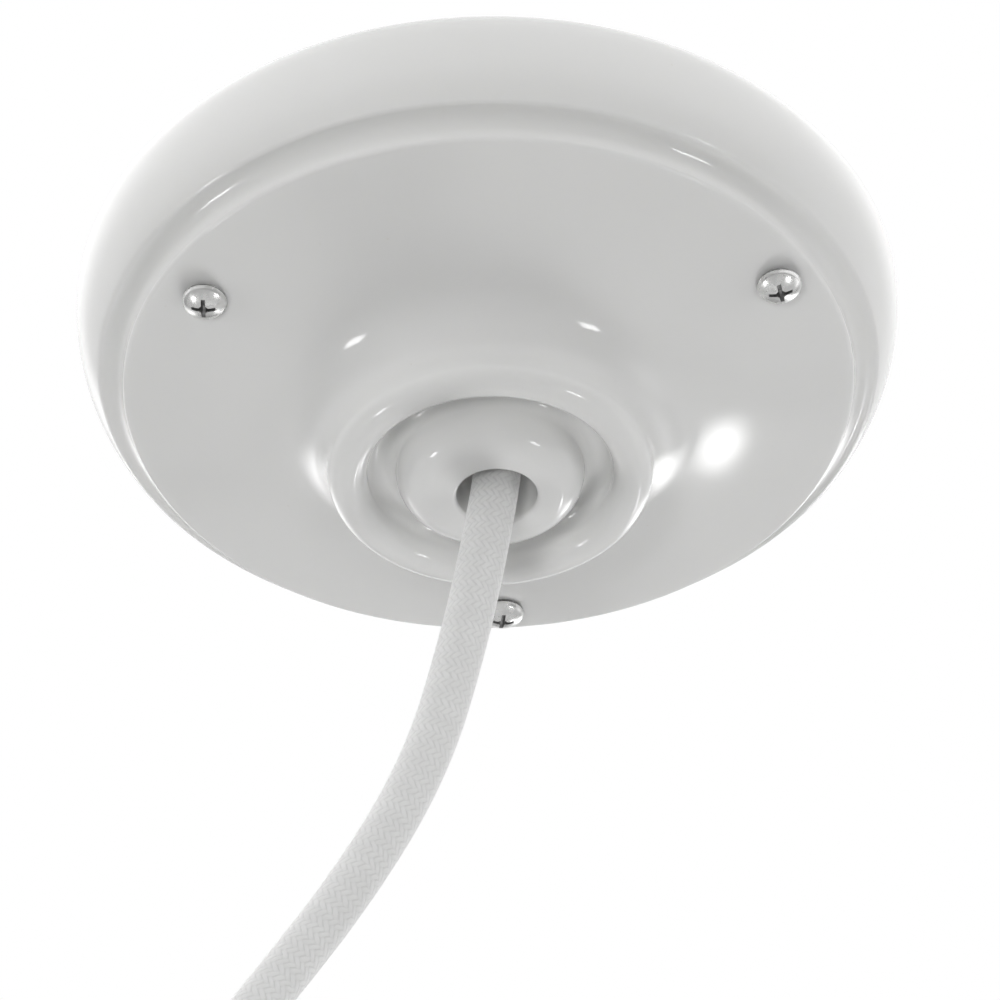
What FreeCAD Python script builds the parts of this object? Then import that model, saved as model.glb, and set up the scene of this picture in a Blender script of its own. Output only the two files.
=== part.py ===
import FreeCAD, Part
import math
import os

# Ceiling rose with three face screws and a braided flex, in millimetres.
# The ceiling is the plane z = 0, the rose hangs below it, and the origin is the
# middle of the mounting bracket. The far side, away from the viewer, is +Y.

V = FreeCAD.Vector

# Round braided cord
cord_d = 6.3

# Cover, outside form. Depths are measured down from the ceiling.
outer_r = 55.0
widest_depth = 3.5
rim_round = 4.2
shoulder_round = 19.0
bead_round = 0.9
ledge_depth = 14.05
cove_round = 2.7
face_step = 6.4
face_edge_round = 0.65
face_edge_wall = 0.1
face_round = 115.0
trumpet_round = 9.0
lip_r = 21.4
lip_round = 2.6
lip_depth = 33.9
groove_height = 4.9
dome_r = 12.4
dome_round = 4.5
dome_drop = 1.8
face_r = outer_r - face_step
groove_depth = lip_depth - groove_height
dome_depth = lip_depth + dome_drop

# Cover, inside form and holes. The holes were punched a little to one side of the moulded form.
cover_wall = 4.4
rim_wall = 5.2
cavity_round = 5.0
crown_wall = 9.7
neck_floor_round = 2.0
moulding_shift = 0.8
cord_hole_gap = 2.15
cord_hole_round = 0.6
cavity_r = outer_r - rim_wall
neck_floor_depth = dome_depth - crown_wall
cord_hole_r = cord_d / 2 + cord_hole_gap

# Cover screws, which lean out less than the face slopes and bear on its lower side
screw_inset = 5.5
screw_angles = {"left": 209.4, "right": 329.8, "back": 89.4}
screw_lean = 5.8
screw_hole_r = 1.9
screw_shank_r = 1.45
screw_length = 10.0
screw_head_r = 2.95
screw_head_edge = 0.75
screw_head_height = 2.1
recess_width = 0.8
recess_share = 0.56
recess_depth = 1.1
screw_chamfer = 0.3
head_rim = 0.35
seat_gap = 0.06
thread_gap = 0.05
screw_gap = 0.15
screw_circle_r = face_r - screw_inset

# Mounting bracket, pressed from one sheet with three folded arms
sheet = 1.5
bend_inside = 1.2
arm_width = 10.0
arm_fold = 6.1
arm_tip = 1.7
arm_gap = 0.5
disc_inset = 4.2
collar_r = 2.6
collar_height = 1.2
slot_spacing = 50.0
slot_width = 4.5
slot_length = 10.0
entry_r = 7.5
entry_y = 22.5
arm_r = screw_circle_r - arm_fold
arm_tip_r = screw_circle_r + arm_tip
bracket_r = arm_r - disc_inset

# Cord grip, an upright strip with a clamping saddle
grip_x = 0.8
grip_width = 26.0
grip_floor_gap = 1.5
grip_foot = 9.0
grip_corner = 2.0
grip_rivet_x = 8.0
rivet_shank_r = 1.5
rivet_head_r = 2.6
rivet_head = 1.0
saddle_floor_gap = 5.0
saddle_height = 8.0
saddle_sheet = 1.2
saddle_gap = 0.2
saddle_screw_x = 9.2
grip_screw_length = 6.5
grip_screw_r = 1.45
grip_head_r = 2.6
grip_head_height = 1.8
grip_head_edge = 0.6
grip_drop = neck_floor_depth - sheet - grip_floor_gap
saddle_depth = neck_floor_depth - saddle_floor_gap - saddle_height / 2

# Terminal block with three brass tubes, held under the bracket by one screw
block_y = -23.0
block_width = 27.0
block_length = 15.0
block_height = 10.5
block_round = 1.2
tube_pitch = 9.0
tube_r = 2.4
tube_bore_r = 1.4
tube_length = 14.0
tube_gap = 0.1
tube_drop = 5.6
block_screw_y = 3.9
terminal_screw_r = 1.15
terminal_screw_length = 4.2
terminal_well_r = 1.9
slot_cut = 0.5
slot_deep = 0.9
fixing_x = 4.5
fixing_screw_r = 1.2
fixing_head_r = 1.9
fixing_head = 1.3

# Earth point on the bracket
earth_x = -17.5
earth_y = 12.0
earth_screw_r = 1.95
earth_head_r = 3.6
earth_head_height = 2.2
earth_head_edge = 0.9
earth_screw_length = 3.0
washer_r = 4.0
washer_thick = 0.8
washer_notches = 8
notch_width = 1.0
notch_deep = 0.5
lug_thick = 0.8
lug_ring_r = 3.8
lug_neck_width = 2.4
lug_neck = 5.5
lug_barrel_r = 1.6
lug_barrel_length = 5.0
lug_overlap = 0.6

# Insulated cores, from the end of the braid over to the inner ends of the tubes
core_d = 2.2
wire_d = 1.2
core_lay = 1.4
wire_entry = 4.5
sheath_spare = 1.0
core_crest = {"live": 3.0, "earth": 1.4, "neutral": 3.0}
core_angles = {"live": 210.0, "earth": 90.0, "neutral": 330.0}
core_crest_y = -6.2
core_crest_share = 0.42
core_lead_in = 4.6
core_lead_rise = 0.3
sheath_top = saddle_depth - saddle_height / 2 - sheath_spare

# Link wire from the earth point round the block to the outer end of the earth tube
link_straight = 7.0
link_gap = 3.2
link_turn_in = 1.5
link_bow = 8.8
link_corner_x = -9.5
link_lead_in = 7.5

# Coil of the length of cord that is put away, and its tie
coil_x = -19.2
coil_z = -174.5
coil_r = 33.0
coil_turns_across = 2
tie_width = 7.0
tie_thick = 0.9
tie_gap = 0.35
tie_corner = 2.8
tie_angle = 166.0

# Cord from the grip to the coil, and from the coil to its free end
coil_lay = cord_d / 2
coil_outer_r = coil_r + coil_lay
tail_x = coil_x - coil_outer_r
cord_route = [
    (grip_x, 0.0, -sheath_top), (grip_x, 0.0, -27.0), (-1.5, 0.0, -43.0), (-4.6, 0.0, -60.0),
    (-9.6, 0.0, -80.5), (-19.0, 0.0, -100.0), (-32.0, -0.4, -120.5), (-43.0, -2.2, -139.0),
    (-50.5, -coil_lay, -156.0),
]
tail_route = [
    (tail_x, coil_lay, coil_z), (tail_x - 0.8, coil_lay, -190.5), (tail_x + 0.2, coil_lay, -206.0),
    (tail_x - 0.6, coil_lay, -221.0),
]
arc_share = 0.45

# Free end: a shrunk sleeve and three cores with crimped ferrules
sleeve_length = 9.0
sleeve_wall = 0.5
sleeve_end = 3.0
end_straight = 5.0
end_bend = 12.0
end_core_length = 17.0
end_splay = 3.2
end_spread = 4.5
ferrule_length = 7.0
ferrule_d = 1.7

# Length by which a cutter runs past what it cuts
past = 1.0


def polar(radius, angle):
    """Point in the ceiling plane at a radius and an angle in degrees."""
    turn = math.radians(angle)
    return V(radius * math.cos(turn), radius * math.sin(turn), 0)


def cylinder(radius, height, base, direction=V(0, 0, 1)):
    """Round bar of a height that starts at a base point."""
    return Part.makeCylinder(radius, height, base, direction)


def box(x0, x1, y0, y1, z0, z1):
    """Block between two corners."""
    return Part.makeBox(x1 - x0, y1 - y0, z1 - z0, V(x0, y0, z0))


def arc(start, middle, end):
    """Circular edge through three points."""
    return Part.Arc(start, middle, end).toShape()


def line(start, end):
    """Straight edge."""
    return Part.LineSegment(start, end).toShape()


def on_circle(centre, radius, angle):
    """Point of a circle in the plane y = 0, at an angle in degrees up from +X."""
    turn = math.radians(angle)
    return V(centre[0] + radius * math.cos(turn), 0, centre[1] + radius * math.sin(turn))


def arc_between(centre, radius, start_angle, end_angle):
    """Circular edge in the plane y = 0 between two angles in degrees."""
    middle = (start_angle + end_angle) / 2
    points = [on_circle(centre, radius, a) for a in (start_angle, middle, end_angle)]
    return arc(*points)


def angle_from(centre, point):
    """Angle in degrees of a point as seen from a centre, both in the plane y = 0."""
    return math.degrees(math.atan2(point[1] - centre[1], point[0] - centre[0]))


def circle_meeting(first, first_r, second, second_r, side):
    """Where two circles cross, taken on one side of the line from the first to the second."""
    dx, dz = second[0] - first[0], second[1] - first[1]
    gap = math.hypot(dx, dz)
    along = (first_r ** 2 - second_r ** 2 + gap ** 2) / (2 * gap)
    across = side * math.sqrt(first_r ** 2 - along ** 2)
    return (first[0] + (along * dx - across * dz) / gap, first[1] + (along * dz + across * dx) / gap)


def turned(edges, axis_x=0.0):
    """Solid of revolution about a vertical line from a closed chain of edges in the plane y = 0."""
    face = Part.Face(Part.Wire(Part.__sortEdges__(edges)))
    return face.revolve(V(0, 0, 0), V(0, 0, 1), 360).translated(V(axis_x, 0, 0))


def rounded_outline(points):
    """Closed chain of edges through corners given as (point, radius)."""
    count = len(points)
    starts, ends, middles = [], [], []
    for i, (corner, radius) in enumerate(points):
        before = (points[i - 1][0] - corner).normalize()
        after = (points[(i + 1) % count][0] - corner).normalize()
        half = before.getAngle(after) / 2
        reach = radius / math.tan(half)
        inward = (before + after).normalize()
        starts.append(corner + before * reach)
        ends.append(corner + after * reach)
        middles.append(corner + inward * (radius / math.sin(half) - radius))
    edges = []
    for i, (corner, radius) in enumerate(points):
        if radius > 0:
            edges.append(arc(starts[i], middles[i], ends[i]))
        following = starts[(i + 1) % count]
        if (following - ends[i]).Length > 1e-6:
            edges.append(line(ends[i], following))
    return edges


def plate_of(points, direction):
    """Flat piece from corners given as (point, radius), thickened along a direction."""
    return Part.Face(Part.Wire(rounded_outline(points))).extrude(direction)


# Cover

lip_level = -(lip_depth - lip_round)
dome_level = -(dome_depth - dome_round)
trumpet_centre = (lip_r + trumpet_round, lip_level)
face_edge_centre = (face_r - face_edge_round, -(ledge_depth + cove_round + face_edge_wall))
face_centre = circle_meeting(face_edge_centre, face_round + face_edge_round,
                             trumpet_centre, face_round - trumpet_round, 1)


def face_depth(radius):
    """Height of the cover's sloping face at a radius of the moulded form."""
    return face_centre[1] + math.sqrt(face_round ** 2 - (radius - face_centre[0]) ** 2)


def cover_outside():
    """Edges of the outside, from the rim at the ceiling to the middle of the dome."""
    rim_centre = (outer_r - rim_round, -widest_depth)
    rim_angle = math.degrees(math.asin(widest_depth / rim_round))
    shoulder_centre = (outer_r - shoulder_round, -widest_depth)
    bead_level = bead_round - ledge_depth
    reach = shoulder_round - bead_round
    bead_centre = (shoulder_centre[0] + math.sqrt(reach ** 2 - (bead_level + widest_depth) ** 2), bead_level)
    bead_angle = angle_from(shoulder_centre, bead_centre)
    cove_centre = (face_r + cove_round, -(ledge_depth + cove_round))
    edge_angle = angle_from(face_edge_centre, face_centre)
    trumpet_angle = angle_from(face_centre, trumpet_centre)
    groove_round = (lip_r - 2 * lip_round - dome_r) / 2
    groove_centre = (dome_r + groove_round, -(groove_depth + groove_round))
    lip_centre = (lip_r - lip_round, lip_level)
    dome_centre = (dome_r - dome_round, dome_level)
    edges = [
        arc_between(rim_centre, rim_round, rim_angle, 0),
        arc_between(shoulder_centre, shoulder_round, 0, bead_angle),
        arc_between(bead_centre, bead_round, bead_angle, -90),
        line(on_circle(bead_centre, bead_round, -90), on_circle(cove_centre, cove_round, 90)),
        arc_between(cove_centre, cove_round, 90, 180),
        line(on_circle(cove_centre, cove_round, 180), on_circle(face_edge_centre, face_edge_round, 0)),
        arc_between(face_edge_centre, face_edge_round, 0, edge_angle),
        arc_between(face_centre, face_round, edge_angle + 180, trumpet_angle),
        arc_between(trumpet_centre, trumpet_round, trumpet_angle, 180),
        arc_between(lip_centre, lip_round, 0, -180),
        line(on_circle(lip_centre, lip_round, 180), on_circle(groove_centre, groove_round, 0)),
        arc_between(groove_centre, groove_round, 0, 180),
        line(on_circle(groove_centre, groove_round, 180), on_circle(dome_centre, dome_round, 0)),
        arc_between(dome_centre, dome_round, 0, -90),
        line(on_circle(dome_centre, dome_round, -90), V(0, 0, -dome_depth)),
    ]
    return edges, on_circle(rim_centre, rim_round, rim_angle)


def cover_inside():
    """Edges of the hollow side, from the middle of the neck floor to the rim."""
    floor_level = neck_floor_round - neck_floor_depth
    trumpet_inner = trumpet_round + cover_wall
    face_inner = face_round + cover_wall
    reach = trumpet_inner + neck_floor_round
    floor_x = trumpet_centre[0] - math.sqrt(reach ** 2 - (floor_level - trumpet_centre[1]) ** 2)
    floor_centre = (floor_x, floor_level)
    corner_x = cavity_r - cavity_round
    reach = face_inner + cavity_round
    corner_z = face_centre[1] + math.sqrt(reach ** 2 - (corner_x - face_centre[0]) ** 2)
    corner_centre = (corner_x, corner_z)
    floor_angle = angle_from(trumpet_centre, floor_centre)
    trumpet_angle = angle_from(face_centre, trumpet_centre)
    corner_angle = angle_from(face_centre, corner_centre)
    edges = [
        line(V(0, 0, -neck_floor_depth), on_circle(floor_centre, neck_floor_round, -90)),
        arc_between(floor_centre, neck_floor_round, -90, floor_angle - 180),
        arc_between(trumpet_centre, trumpet_inner, floor_angle, trumpet_angle),
        arc_between(face_centre, face_inner, trumpet_angle, corner_angle),
        arc_between(corner_centre, cavity_round, corner_angle - 180, 0),
        line(on_circle(corner_centre, cavity_round, 0), V(cavity_r, 0, 0)),
    ]
    return edges


class Seat:
    """Where one cover screw meets the sloping face, and the way its shank points into the rose."""

    def __init__(self, angle):
        """Find the seat of the screw at an angle round the rose."""
        spot = polar(screw_circle_r, angle)
        from_axis = V(spot.x + moulding_shift, spot.y, 0)
        radius = from_axis.Length
        level = face_depth(radius)
        lean = math.radians(screw_lean)
        outward = from_axis.normalize() * math.sin(lean)
        reach = screw_head_r - head_rim
        stand_off = max(level + side * math.sin(lean) - face_depth(radius + side * math.cos(lean))
                        for side in (-reach, reach))
        self.point = V(spot.x, spot.y, level)
        self.inward = V(-outward.x, -outward.y, math.cos(lean))
        self.head = self.point - self.inward * (stand_off / math.cos(lean) + seat_gap)
        self.angle = angle


seats = {name: Seat(angle) for name, angle in screw_angles.items()}


def make_cover():
    """Glazed cover: the turned form with its cord hole and three screw holes."""
    outside, rim = cover_outside()
    edges = outside + cover_inside()
    edges.append(line(V(cavity_r, 0, 0), rim))
    edges.append(line(V(0, 0, -dome_depth), V(0, 0, -neck_floor_depth)))
    cover = turned(edges, -moulding_shift)
    mouth = cord_hole_r + cord_hole_round
    low = -dome_depth - past
    top = -neck_floor_depth + past
    flare_centre = (mouth, cord_hole_round - dome_depth)
    cutter = turned([
        line(V(0, 0, low), V(mouth, 0, low)),
        line(V(mouth, 0, low), on_circle(flare_centre, cord_hole_round, -90)),
        arc_between(flare_centre, cord_hole_round, -90, -180),
        line(on_circle(flare_centre, cord_hole_round, -180), V(cord_hole_r, 0, top)),
        line(V(cord_hole_r, 0, top), V(0, 0, top)),
        line(V(0, 0, top), V(0, 0, low)),
    ])
    cover = cover.cut(cutter)
    for seat in seats.values():
        start = seat.point - seat.inward * cover_wall
        cover = cover.cut(cylinder(screw_hole_r, 3 * cover_wall, start, seat.inward))
    return cover


# Fasteners

def placed(shape, base, direction):
    """Shape made along +Z from the origin, moved to a base and turned to a direction."""
    moved = shape.copy()
    moved.Placement = FreeCAD.Placement(base, FreeCAD.Rotation(V(0, 0, 1), direction))
    return moved


def pan_screw(shank_r, length, head_r, head_height, edge):
    """Pan head screw along +Z, its head below z = 0, with a cross recess."""
    crown_rise = head_height - edge
    crown_r = (head_r ** 2 + crown_rise ** 2) / (2 * crown_rise)
    crown_mid = math.asin(head_r / crown_r) / 2
    crown_z = crown_r - head_height
    middle = V(crown_r * math.sin(crown_mid), 0, crown_z - crown_r * math.cos(crown_mid))
    rim_out = head_rim * math.sin(math.radians(45))
    rim_middle = V(head_r - head_rim + rim_out, 0, rim_out - head_rim)
    body = turned([
        line(V(0, 0, -head_height), V(0, 0, length)),
        line(V(0, 0, length), V(shank_r - screw_chamfer, 0, length)),
        line(V(shank_r - screw_chamfer, 0, length), V(shank_r, 0, length - screw_chamfer)),
        line(V(shank_r, 0, length - screw_chamfer), V(shank_r, 0, 0)),
        line(V(shank_r, 0, 0), V(head_r - head_rim, 0, 0)),
        arc(V(head_r - head_rim, 0, 0), rim_middle, V(head_r, 0, -head_rim)),
        line(V(head_r, 0, -head_rim), V(head_r, 0, -edge)),
        arc(V(head_r, 0, -edge), middle, V(0, 0, -head_height)),
    ])
    half, arm = recess_width / 2, head_r * recess_share
    for a, b in ((arm, half), (half, arm)):
        body = body.cut(box(-a, a, -b, b, -head_height - past, -head_height + recess_depth))
    return body


def slotted_screw(shank_r, length, head_r, head_height):
    """Cheese head screw along +Z, its head below z = 0, with a straight slot."""
    body = cylinder(shank_r, length, V(0, 0, 0))
    body = body.fuse(cylinder(head_r, head_height, V(0, 0, -head_height))).removeSplitter()
    reach, half = head_r + past, slot_cut / 2
    return body.cut(box(-reach, reach, -half, half, -head_height - past, -head_height / 2))


def make_cover_screws():
    """Three cover screws, each on its seat."""
    screw = pan_screw(screw_shank_r, screw_length, screw_head_r, screw_head_height, screw_head_edge)
    made = {}
    for name, seat in seats.items():
        made["cover_screw_" + name] = placed(screw, seat.head, seat.inward)
    return made


# Mounting bracket

def folded_strip(path, thickness, inside):
    """Outline of a bent sheet from the corner points of its lower and outer skin in the plane y = 0."""
    lower, upper = [], []
    for i, point in enumerate(path):
        dirs = []
        if i > 0:
            dirs.append((point - path[i - 1]).normalize())
        if i < len(path) - 1:
            dirs.append((path[i + 1] - point).normalize())
        sides = [V(-d.z, 0, d.x) for d in dirs]
        mean = sum(sides, V(0, 0, 0)).normalize()
        upper.append(point + mean * (thickness / mean.dot(sides[0])))
        lower.append(point)
    corners = []
    for i, point in enumerate(lower):
        corners.append((point, bend_of(path, i, thickness, inside, False)))
    for i in reversed(range(len(path))):
        corners.append((upper[i], bend_of(path, i, thickness, inside, True)))
    return corners


def bend_of(path, i, thickness, inside, upper):
    """Radius of one skin at a bend: the inside radius where the skin is inside the bend."""
    if i == 0 or i == len(path) - 1:
        return 0
    before, after = path[i] - path[i - 1], path[i + 1] - path[i]
    turn = before.x * after.z - before.z * after.x
    inner_skin = upper if turn > 0 else not upper
    return inside if inner_skin else inside + thickness


def make_bracket():
    """Pressed bracket: a disc against the ceiling with three folded arms that take the cover screws."""
    disc = cylinder(bracket_r, sheet, V(0, 0, -sheet))
    slope = math.atan2(face_centre[0] - screw_circle_r, face_depth(screw_circle_r) - face_centre[1])
    lift = cover_wall + arm_gap
    tab_x = screw_circle_r - lift * math.sin(slope)
    tab_z = face_depth(screw_circle_r) + lift * math.cos(slope)
    rise = math.tan(slope)
    foot = V(arm_r, 0, tab_z + (arm_r - tab_x) * rise)
    tip = V(arm_tip_r, 0, tab_z + (arm_tip_r - tab_x) * rise)
    path = [V(bracket_r - arm_width, 0, -sheet), V(arm_r, 0, -sheet), foot, tip]
    outline = Part.Wire(rounded_outline(folded_strip(path, sheet, bend_inside)))
    arm = Part.Face(outline).extrude(V(0, arm_width, 0)).translated(V(0, -arm_width / 2, 0))
    bracket = disc
    for seat in seats.values():
        bracket = bracket.fuse(arm.rotated(V(0, 0, 0), V(0, 0, 1), seat.angle))
        start = seat.point + seat.inward * (lift + sheet / 2)
        bracket = bracket.fuse(cylinder(collar_r, sheet / 2 + collar_height, start, seat.inward))
    for seat in seats.values():
        bracket = bracket.cut(cylinder(screw_shank_r + thread_gap, screw_length, seat.point, seat.inward))
    low, through = -sheet - past, sheet + 2 * past
    for side in (-1, 1):
        bracket = bracket.cut(long_hole(V(side * slot_spacing / 2, 0, low), slot_length, slot_width, through))
        rivet = V(side * grip_rivet_x + grip_x, rivet_y(), low)
        bracket = bracket.cut(cylinder(rivet_shank_r + thread_gap, through, rivet))
        fixing = V(side * fixing_x, block_y, low)
        bracket = bracket.cut(cylinder(fixing_screw_r + thread_gap, through, fixing))
    bracket = bracket.cut(cylinder(entry_r, through, V(0, entry_y, low)))
    bracket = bracket.cut(cylinder(earth_screw_r + thread_gap, through, V(earth_x, earth_y, low)))
    return bracket.removeSplitter()


def long_hole(middle, length, width, depth):
    """Upright cutter for a slot along X with round ends."""
    half = (length - width) / 2
    cutter = box(-half, half, -width / 2, width / 2, 0, depth)
    for x in (-half, half):
        cutter = cutter.fuse(cylinder(width / 2, depth, V(x, 0, 0)))
    return cutter.translated(middle)


# Cord grip

def web_y():
    """Near face of the upright strip, which the cord lies against."""
    return cord_d / 2


def rivet_y():
    """Middle of the grip's foot."""
    return web_y() + sheet + bend_inside + grip_foot / 2


def make_grip():
    """Upright strip with its foot under the bracket, its saddle, and what fastens both."""
    made = {}
    top = -sheet
    end = web_y() + sheet + bend_inside + grip_foot
    profile = [
        (V(0, web_y(), top), sheet + bend_inside),
        (V(0, end, top), 0),
        (V(0, end, top - sheet), 0),
        (V(0, web_y() + sheet, top - sheet), bend_inside),
        (V(0, web_y() + sheet, top - grip_drop), 0),
        (V(0, web_y(), top - grip_drop), 0),
    ]
    strip = plate_of(profile, V(grip_width, 0, 0)).translated(V(grip_x - grip_width / 2, 0, 0))
    level = -saddle_depth
    for side, name in ((-1, "left"), (1, "right")):
        x = grip_x + side * saddle_screw_x
        hole = cylinder(grip_screw_r + thread_gap, 3 * sheet, V(x, web_y() - sheet, level), V(0, 1, 0))
        strip = strip.cut(hole)
        rivet_x = grip_x + side * grip_rivet_x
        strip = strip.cut(cylinder(rivet_shank_r + thread_gap, 3 * sheet, V(rivet_x, rivet_y(), top - 2 * sheet)))
        rivet = cylinder(rivet_shank_r, 2 * sheet, V(rivet_x, rivet_y(), top - sheet))
        head = cylinder(rivet_head_r, rivet_head, V(rivet_x, rivet_y(), top - sheet - rivet_head))
        made["grip_rivet_" + name] = rivet.fuse(head).removeSplitter()
    corners = [e for e in strip.Edges if is_free_corner(e)]
    made["grip_bracket"] = strip.makeFillet(grip_corner, corners)
    made["grip_saddle"] = make_saddle(level)
    screw = pan_screw(grip_screw_r, grip_screw_length, grip_head_r, grip_head_height, grip_head_edge)
    for side, name in ((-1, "left"), (1, "right")):
        x = grip_x + side * saddle_screw_x
        made["grip_screw_" + name] = placed(screw, V(x, ear_y() - saddle_sheet - seat_gap, level), V(0, 1, 0))
    return made


def is_free_corner(edge):
    """True for the two short edges at the lower corners of the upright strip."""
    span = edge.BoundBox
    low = abs(span.ZMax + sheet + grip_drop) < thread_gap
    return low and span.YLength > sheet / 2 and span.XLength < thread_gap


def ear_y():
    """Back face of the saddle's ears, which stand off the upright strip when it grips."""
    return web_y() - 2 * sheet


def make_saddle(level):
    """Clamping saddle: a strip bowed over the cord, with an ear and a screw hole at each side."""
    bow = cord_d / 2 + saddle_gap
    outer = bow + saddle_sheet
    ear = grip_width / 2
    y = ear_y()
    inner_x = math.sqrt(bow ** 2 - y ** 2) if abs(y) < bow else bow
    outer_x = math.sqrt(outer ** 2 - (y - saddle_sheet) ** 2) if abs(y - saddle_sheet) < outer else outer
    edges = [
        line(V(-ear, y, 0), V(-inner_x, y, 0)),
        arc(V(-inner_x, y, 0), V(0, -bow, 0), V(inner_x, y, 0)),
        line(V(inner_x, y, 0), V(ear, y, 0)),
        line(V(ear, y, 0), V(ear, y - saddle_sheet, 0)),
        line(V(ear, y - saddle_sheet, 0), V(outer_x, y - saddle_sheet, 0)),
        arc(V(outer_x, y - saddle_sheet, 0), V(0, -outer, 0), V(-outer_x, y - saddle_sheet, 0)),
        line(V(-outer_x, y - saddle_sheet, 0), V(-ear, y - saddle_sheet, 0)),
        line(V(-ear, y - saddle_sheet, 0), V(-ear, y, 0)),
    ]
    saddle = Part.Face(Part.Wire(edges)).extrude(V(0, 0, saddle_height))
    saddle = saddle.translated(V(grip_x, 0, level - saddle_height / 2))
    for side in (-1, 1):
        x = grip_x + side * saddle_screw_x
        saddle = saddle.cut(cylinder(grip_screw_r + screw_gap, 3 * outer, V(x, -2 * outer, level), V(0, 1, 0)))
    return saddle


# Terminal block

tube_level = -sheet - tube_drop
block_top = -sheet
block_low = -sheet - block_height
tubes = {"live": -tube_pitch, "earth": 0.0, "neutral": tube_pitch}


def make_terminals():
    """Moulded block, three brass tubes with two clamping screws each, and the fixing screws."""
    made = {}
    y0, y1 = block_y - block_length / 2, block_y + block_length / 2
    half = block_width / 2
    block = box(-half, half, y0, y1, block_low, block_top)
    uprights = [e for e in block.Edges if e.BoundBox.ZLength > block_height / 2]
    block = block.makeFillet(block_round, uprights)
    for name, x in tubes.items():
        end = V(x, block_y - tube_length / 2, tube_level)
        channel = V(x, y0 - past, tube_level)
        block = block.cut(cylinder(tube_r + tube_gap, block_length + 2 * past, channel, V(0, 1, 0)))
        tube = cylinder(tube_r, tube_length, end, V(0, 1, 0))
        tube = tube.cut(cylinder(tube_bore_r, tube_length, end, V(0, 1, 0)))
        for side, place in ((-1, "outer"), (1, "inner")):
            y = block_y + side * block_screw_y
            well = V(x, y, block_low - past)
            block = block.cut(cylinder(terminal_well_r, tube_level - well.z, well))
            tube = tube.cut(cylinder(terminal_screw_r + thread_gap, tube_level - well.z, well))
            tip = tube_level - (wire_d / 2 if side > 0 or name == "earth" else 0)
            made["terminal_screw_" + name + "_" + place] = terminal_screw(V(x, y, tip))
        made["terminal_tube_" + name] = tube
    for side, place in ((-1, "left"), (1, "right")):
        x = side * fixing_x
        start = V(x, block_y, block_low - past)
        block = block.cut(cylinder(fixing_screw_r + screw_gap, block_height + 2 * past, start))
        block = block.cut(cylinder(fixing_head_r + screw_gap, fixing_head + past, start))
        screw = slotted_screw(fixing_screw_r, block_height, fixing_head_r, fixing_head)
        made["block_screw_" + place] = screw.translated(V(x, block_y, block_low + fixing_head))
    made["terminal_block"] = block
    return made


def terminal_screw(tip):
    """Headless clamping screw whose upper end presses the wire at a point."""
    low = tip - V(0, 0, terminal_screw_length)
    screw = cylinder(terminal_screw_r, terminal_screw_length, low)
    half = slot_cut / 2
    reach = terminal_screw_r + past
    return screw.cut(box(-reach, reach, -half, half, -past, slot_deep).translated(low))


# Earth point

def make_earth():
    """Earth screw under the bracket with its notched washer and the ring lug of the link wire."""
    spot = V(earth_x, earth_y, -sheet)
    toward = V(0, -1, 0)
    washer_low = spot - V(0, 0, washer_thick)
    lug_low = washer_low - V(0, 0, lug_thick)
    hole = cylinder(earth_screw_r + screw_gap, washer_thick + lug_thick + 2 * past, lug_low - V(0, 0, past))
    washer = cylinder(washer_r, washer_thick, washer_low).cut(hole)
    half = notch_width / 2
    notch = box(washer_r - notch_deep, washer_r + past, -half, half, -past, washer_thick + past)
    for i in range(washer_notches):
        angle = 360 * (i + 0.5) / washer_notches
        washer = washer.cut(notch.rotated(V(0, 0, 0), V(0, 0, 1), angle).translated(washer_low))
    half = lug_neck_width / 2
    neck = box(-half, half, -lug_neck, 0, 0, lug_thick).translated(lug_low)
    barrel_base = lug_low + toward * (lug_neck - lug_overlap) + V(0, 0, lug_thick - lug_barrel_r)
    barrel = cylinder(lug_barrel_r, lug_barrel_length, barrel_base, toward)
    lug = cylinder(lug_ring_r, lug_thick, lug_low).fuse(neck).cut(hole).fuse(barrel).removeSplitter()
    screw = pan_screw(earth_screw_r, earth_screw_length, earth_head_r, earth_head_height, earth_head_edge)
    made = {
        "earth_washer": washer,
        "earth_lug": lug,
        "earth_screw": screw.translated(lug_low - V(0, 0, seat_gap)),
    }
    return made, barrel_base + toward * lug_barrel_length, toward


# Cords and cores

def smooth_path(points):
    """Chain of straight runs joined by tangent arcs, with the arc radii."""
    edges, radii = [], []
    start = points[0]
    for i in range(1, len(points) - 1):
        before = points[i - 1] - points[i]
        after = points[i + 1] - points[i]
        shorter = min(before.Length, after.Length)
        turn = math.pi - before.getAngle(after)
        reach = arc_share * shorter
        radius = reach / math.tan(turn / 2)
        first = points[i] + before.normalize() * reach
        last = points[i] + after.normalize() * reach
        toward = (first + last) * 0.5 - points[i]
        sag = radius / math.cos(turn / 2) - radius
        middle = points[i] + toward.normalize() * sag
        edges.append(line(start, first))
        edges.append(arc(first, middle, last))
        radii.append(radius)
        start = last
    edges.append(line(start, points[-1]))
    return edges, radii


def swept(points, diameter):
    """Round bar along a route, with its length and arc radii: each run and bend carries the ring on."""
    edges, radii = smooth_path(points)
    ring = Part.makeCircle(diameter / 2, points[0], points[1] - points[0])
    faces = [Part.Face(Part.Wire(ring))]
    for edge in edges:
        start, end = edge.valueAt(edge.FirstParameter), edge.valueAt(edge.LastParameter)
        if isinstance(edge.Curve, Part.Line):
            faces.append(ring.extrude(end - start))
            ring = ring.translated(end - start)
        else:
            centre = edge.Curve.Center
            axis = (start - centre).cross(end - centre)
            angle = math.degrees((start - centre).getAngle(end - centre))
            faces.append(ring.revolve(centre, axis, angle))
            ring = ring.rotated(centre, axis, angle)
    faces.append(Part.Face(Part.Wire(ring)))
    shell = Part.Shell(faces)
    shell.sewShape()
    bar = Part.Solid(shell)
    bar.fix(1e-5, 1e-5, 1e-5)
    return bar, sum(edge.Length for edge in edges), radii


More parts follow.
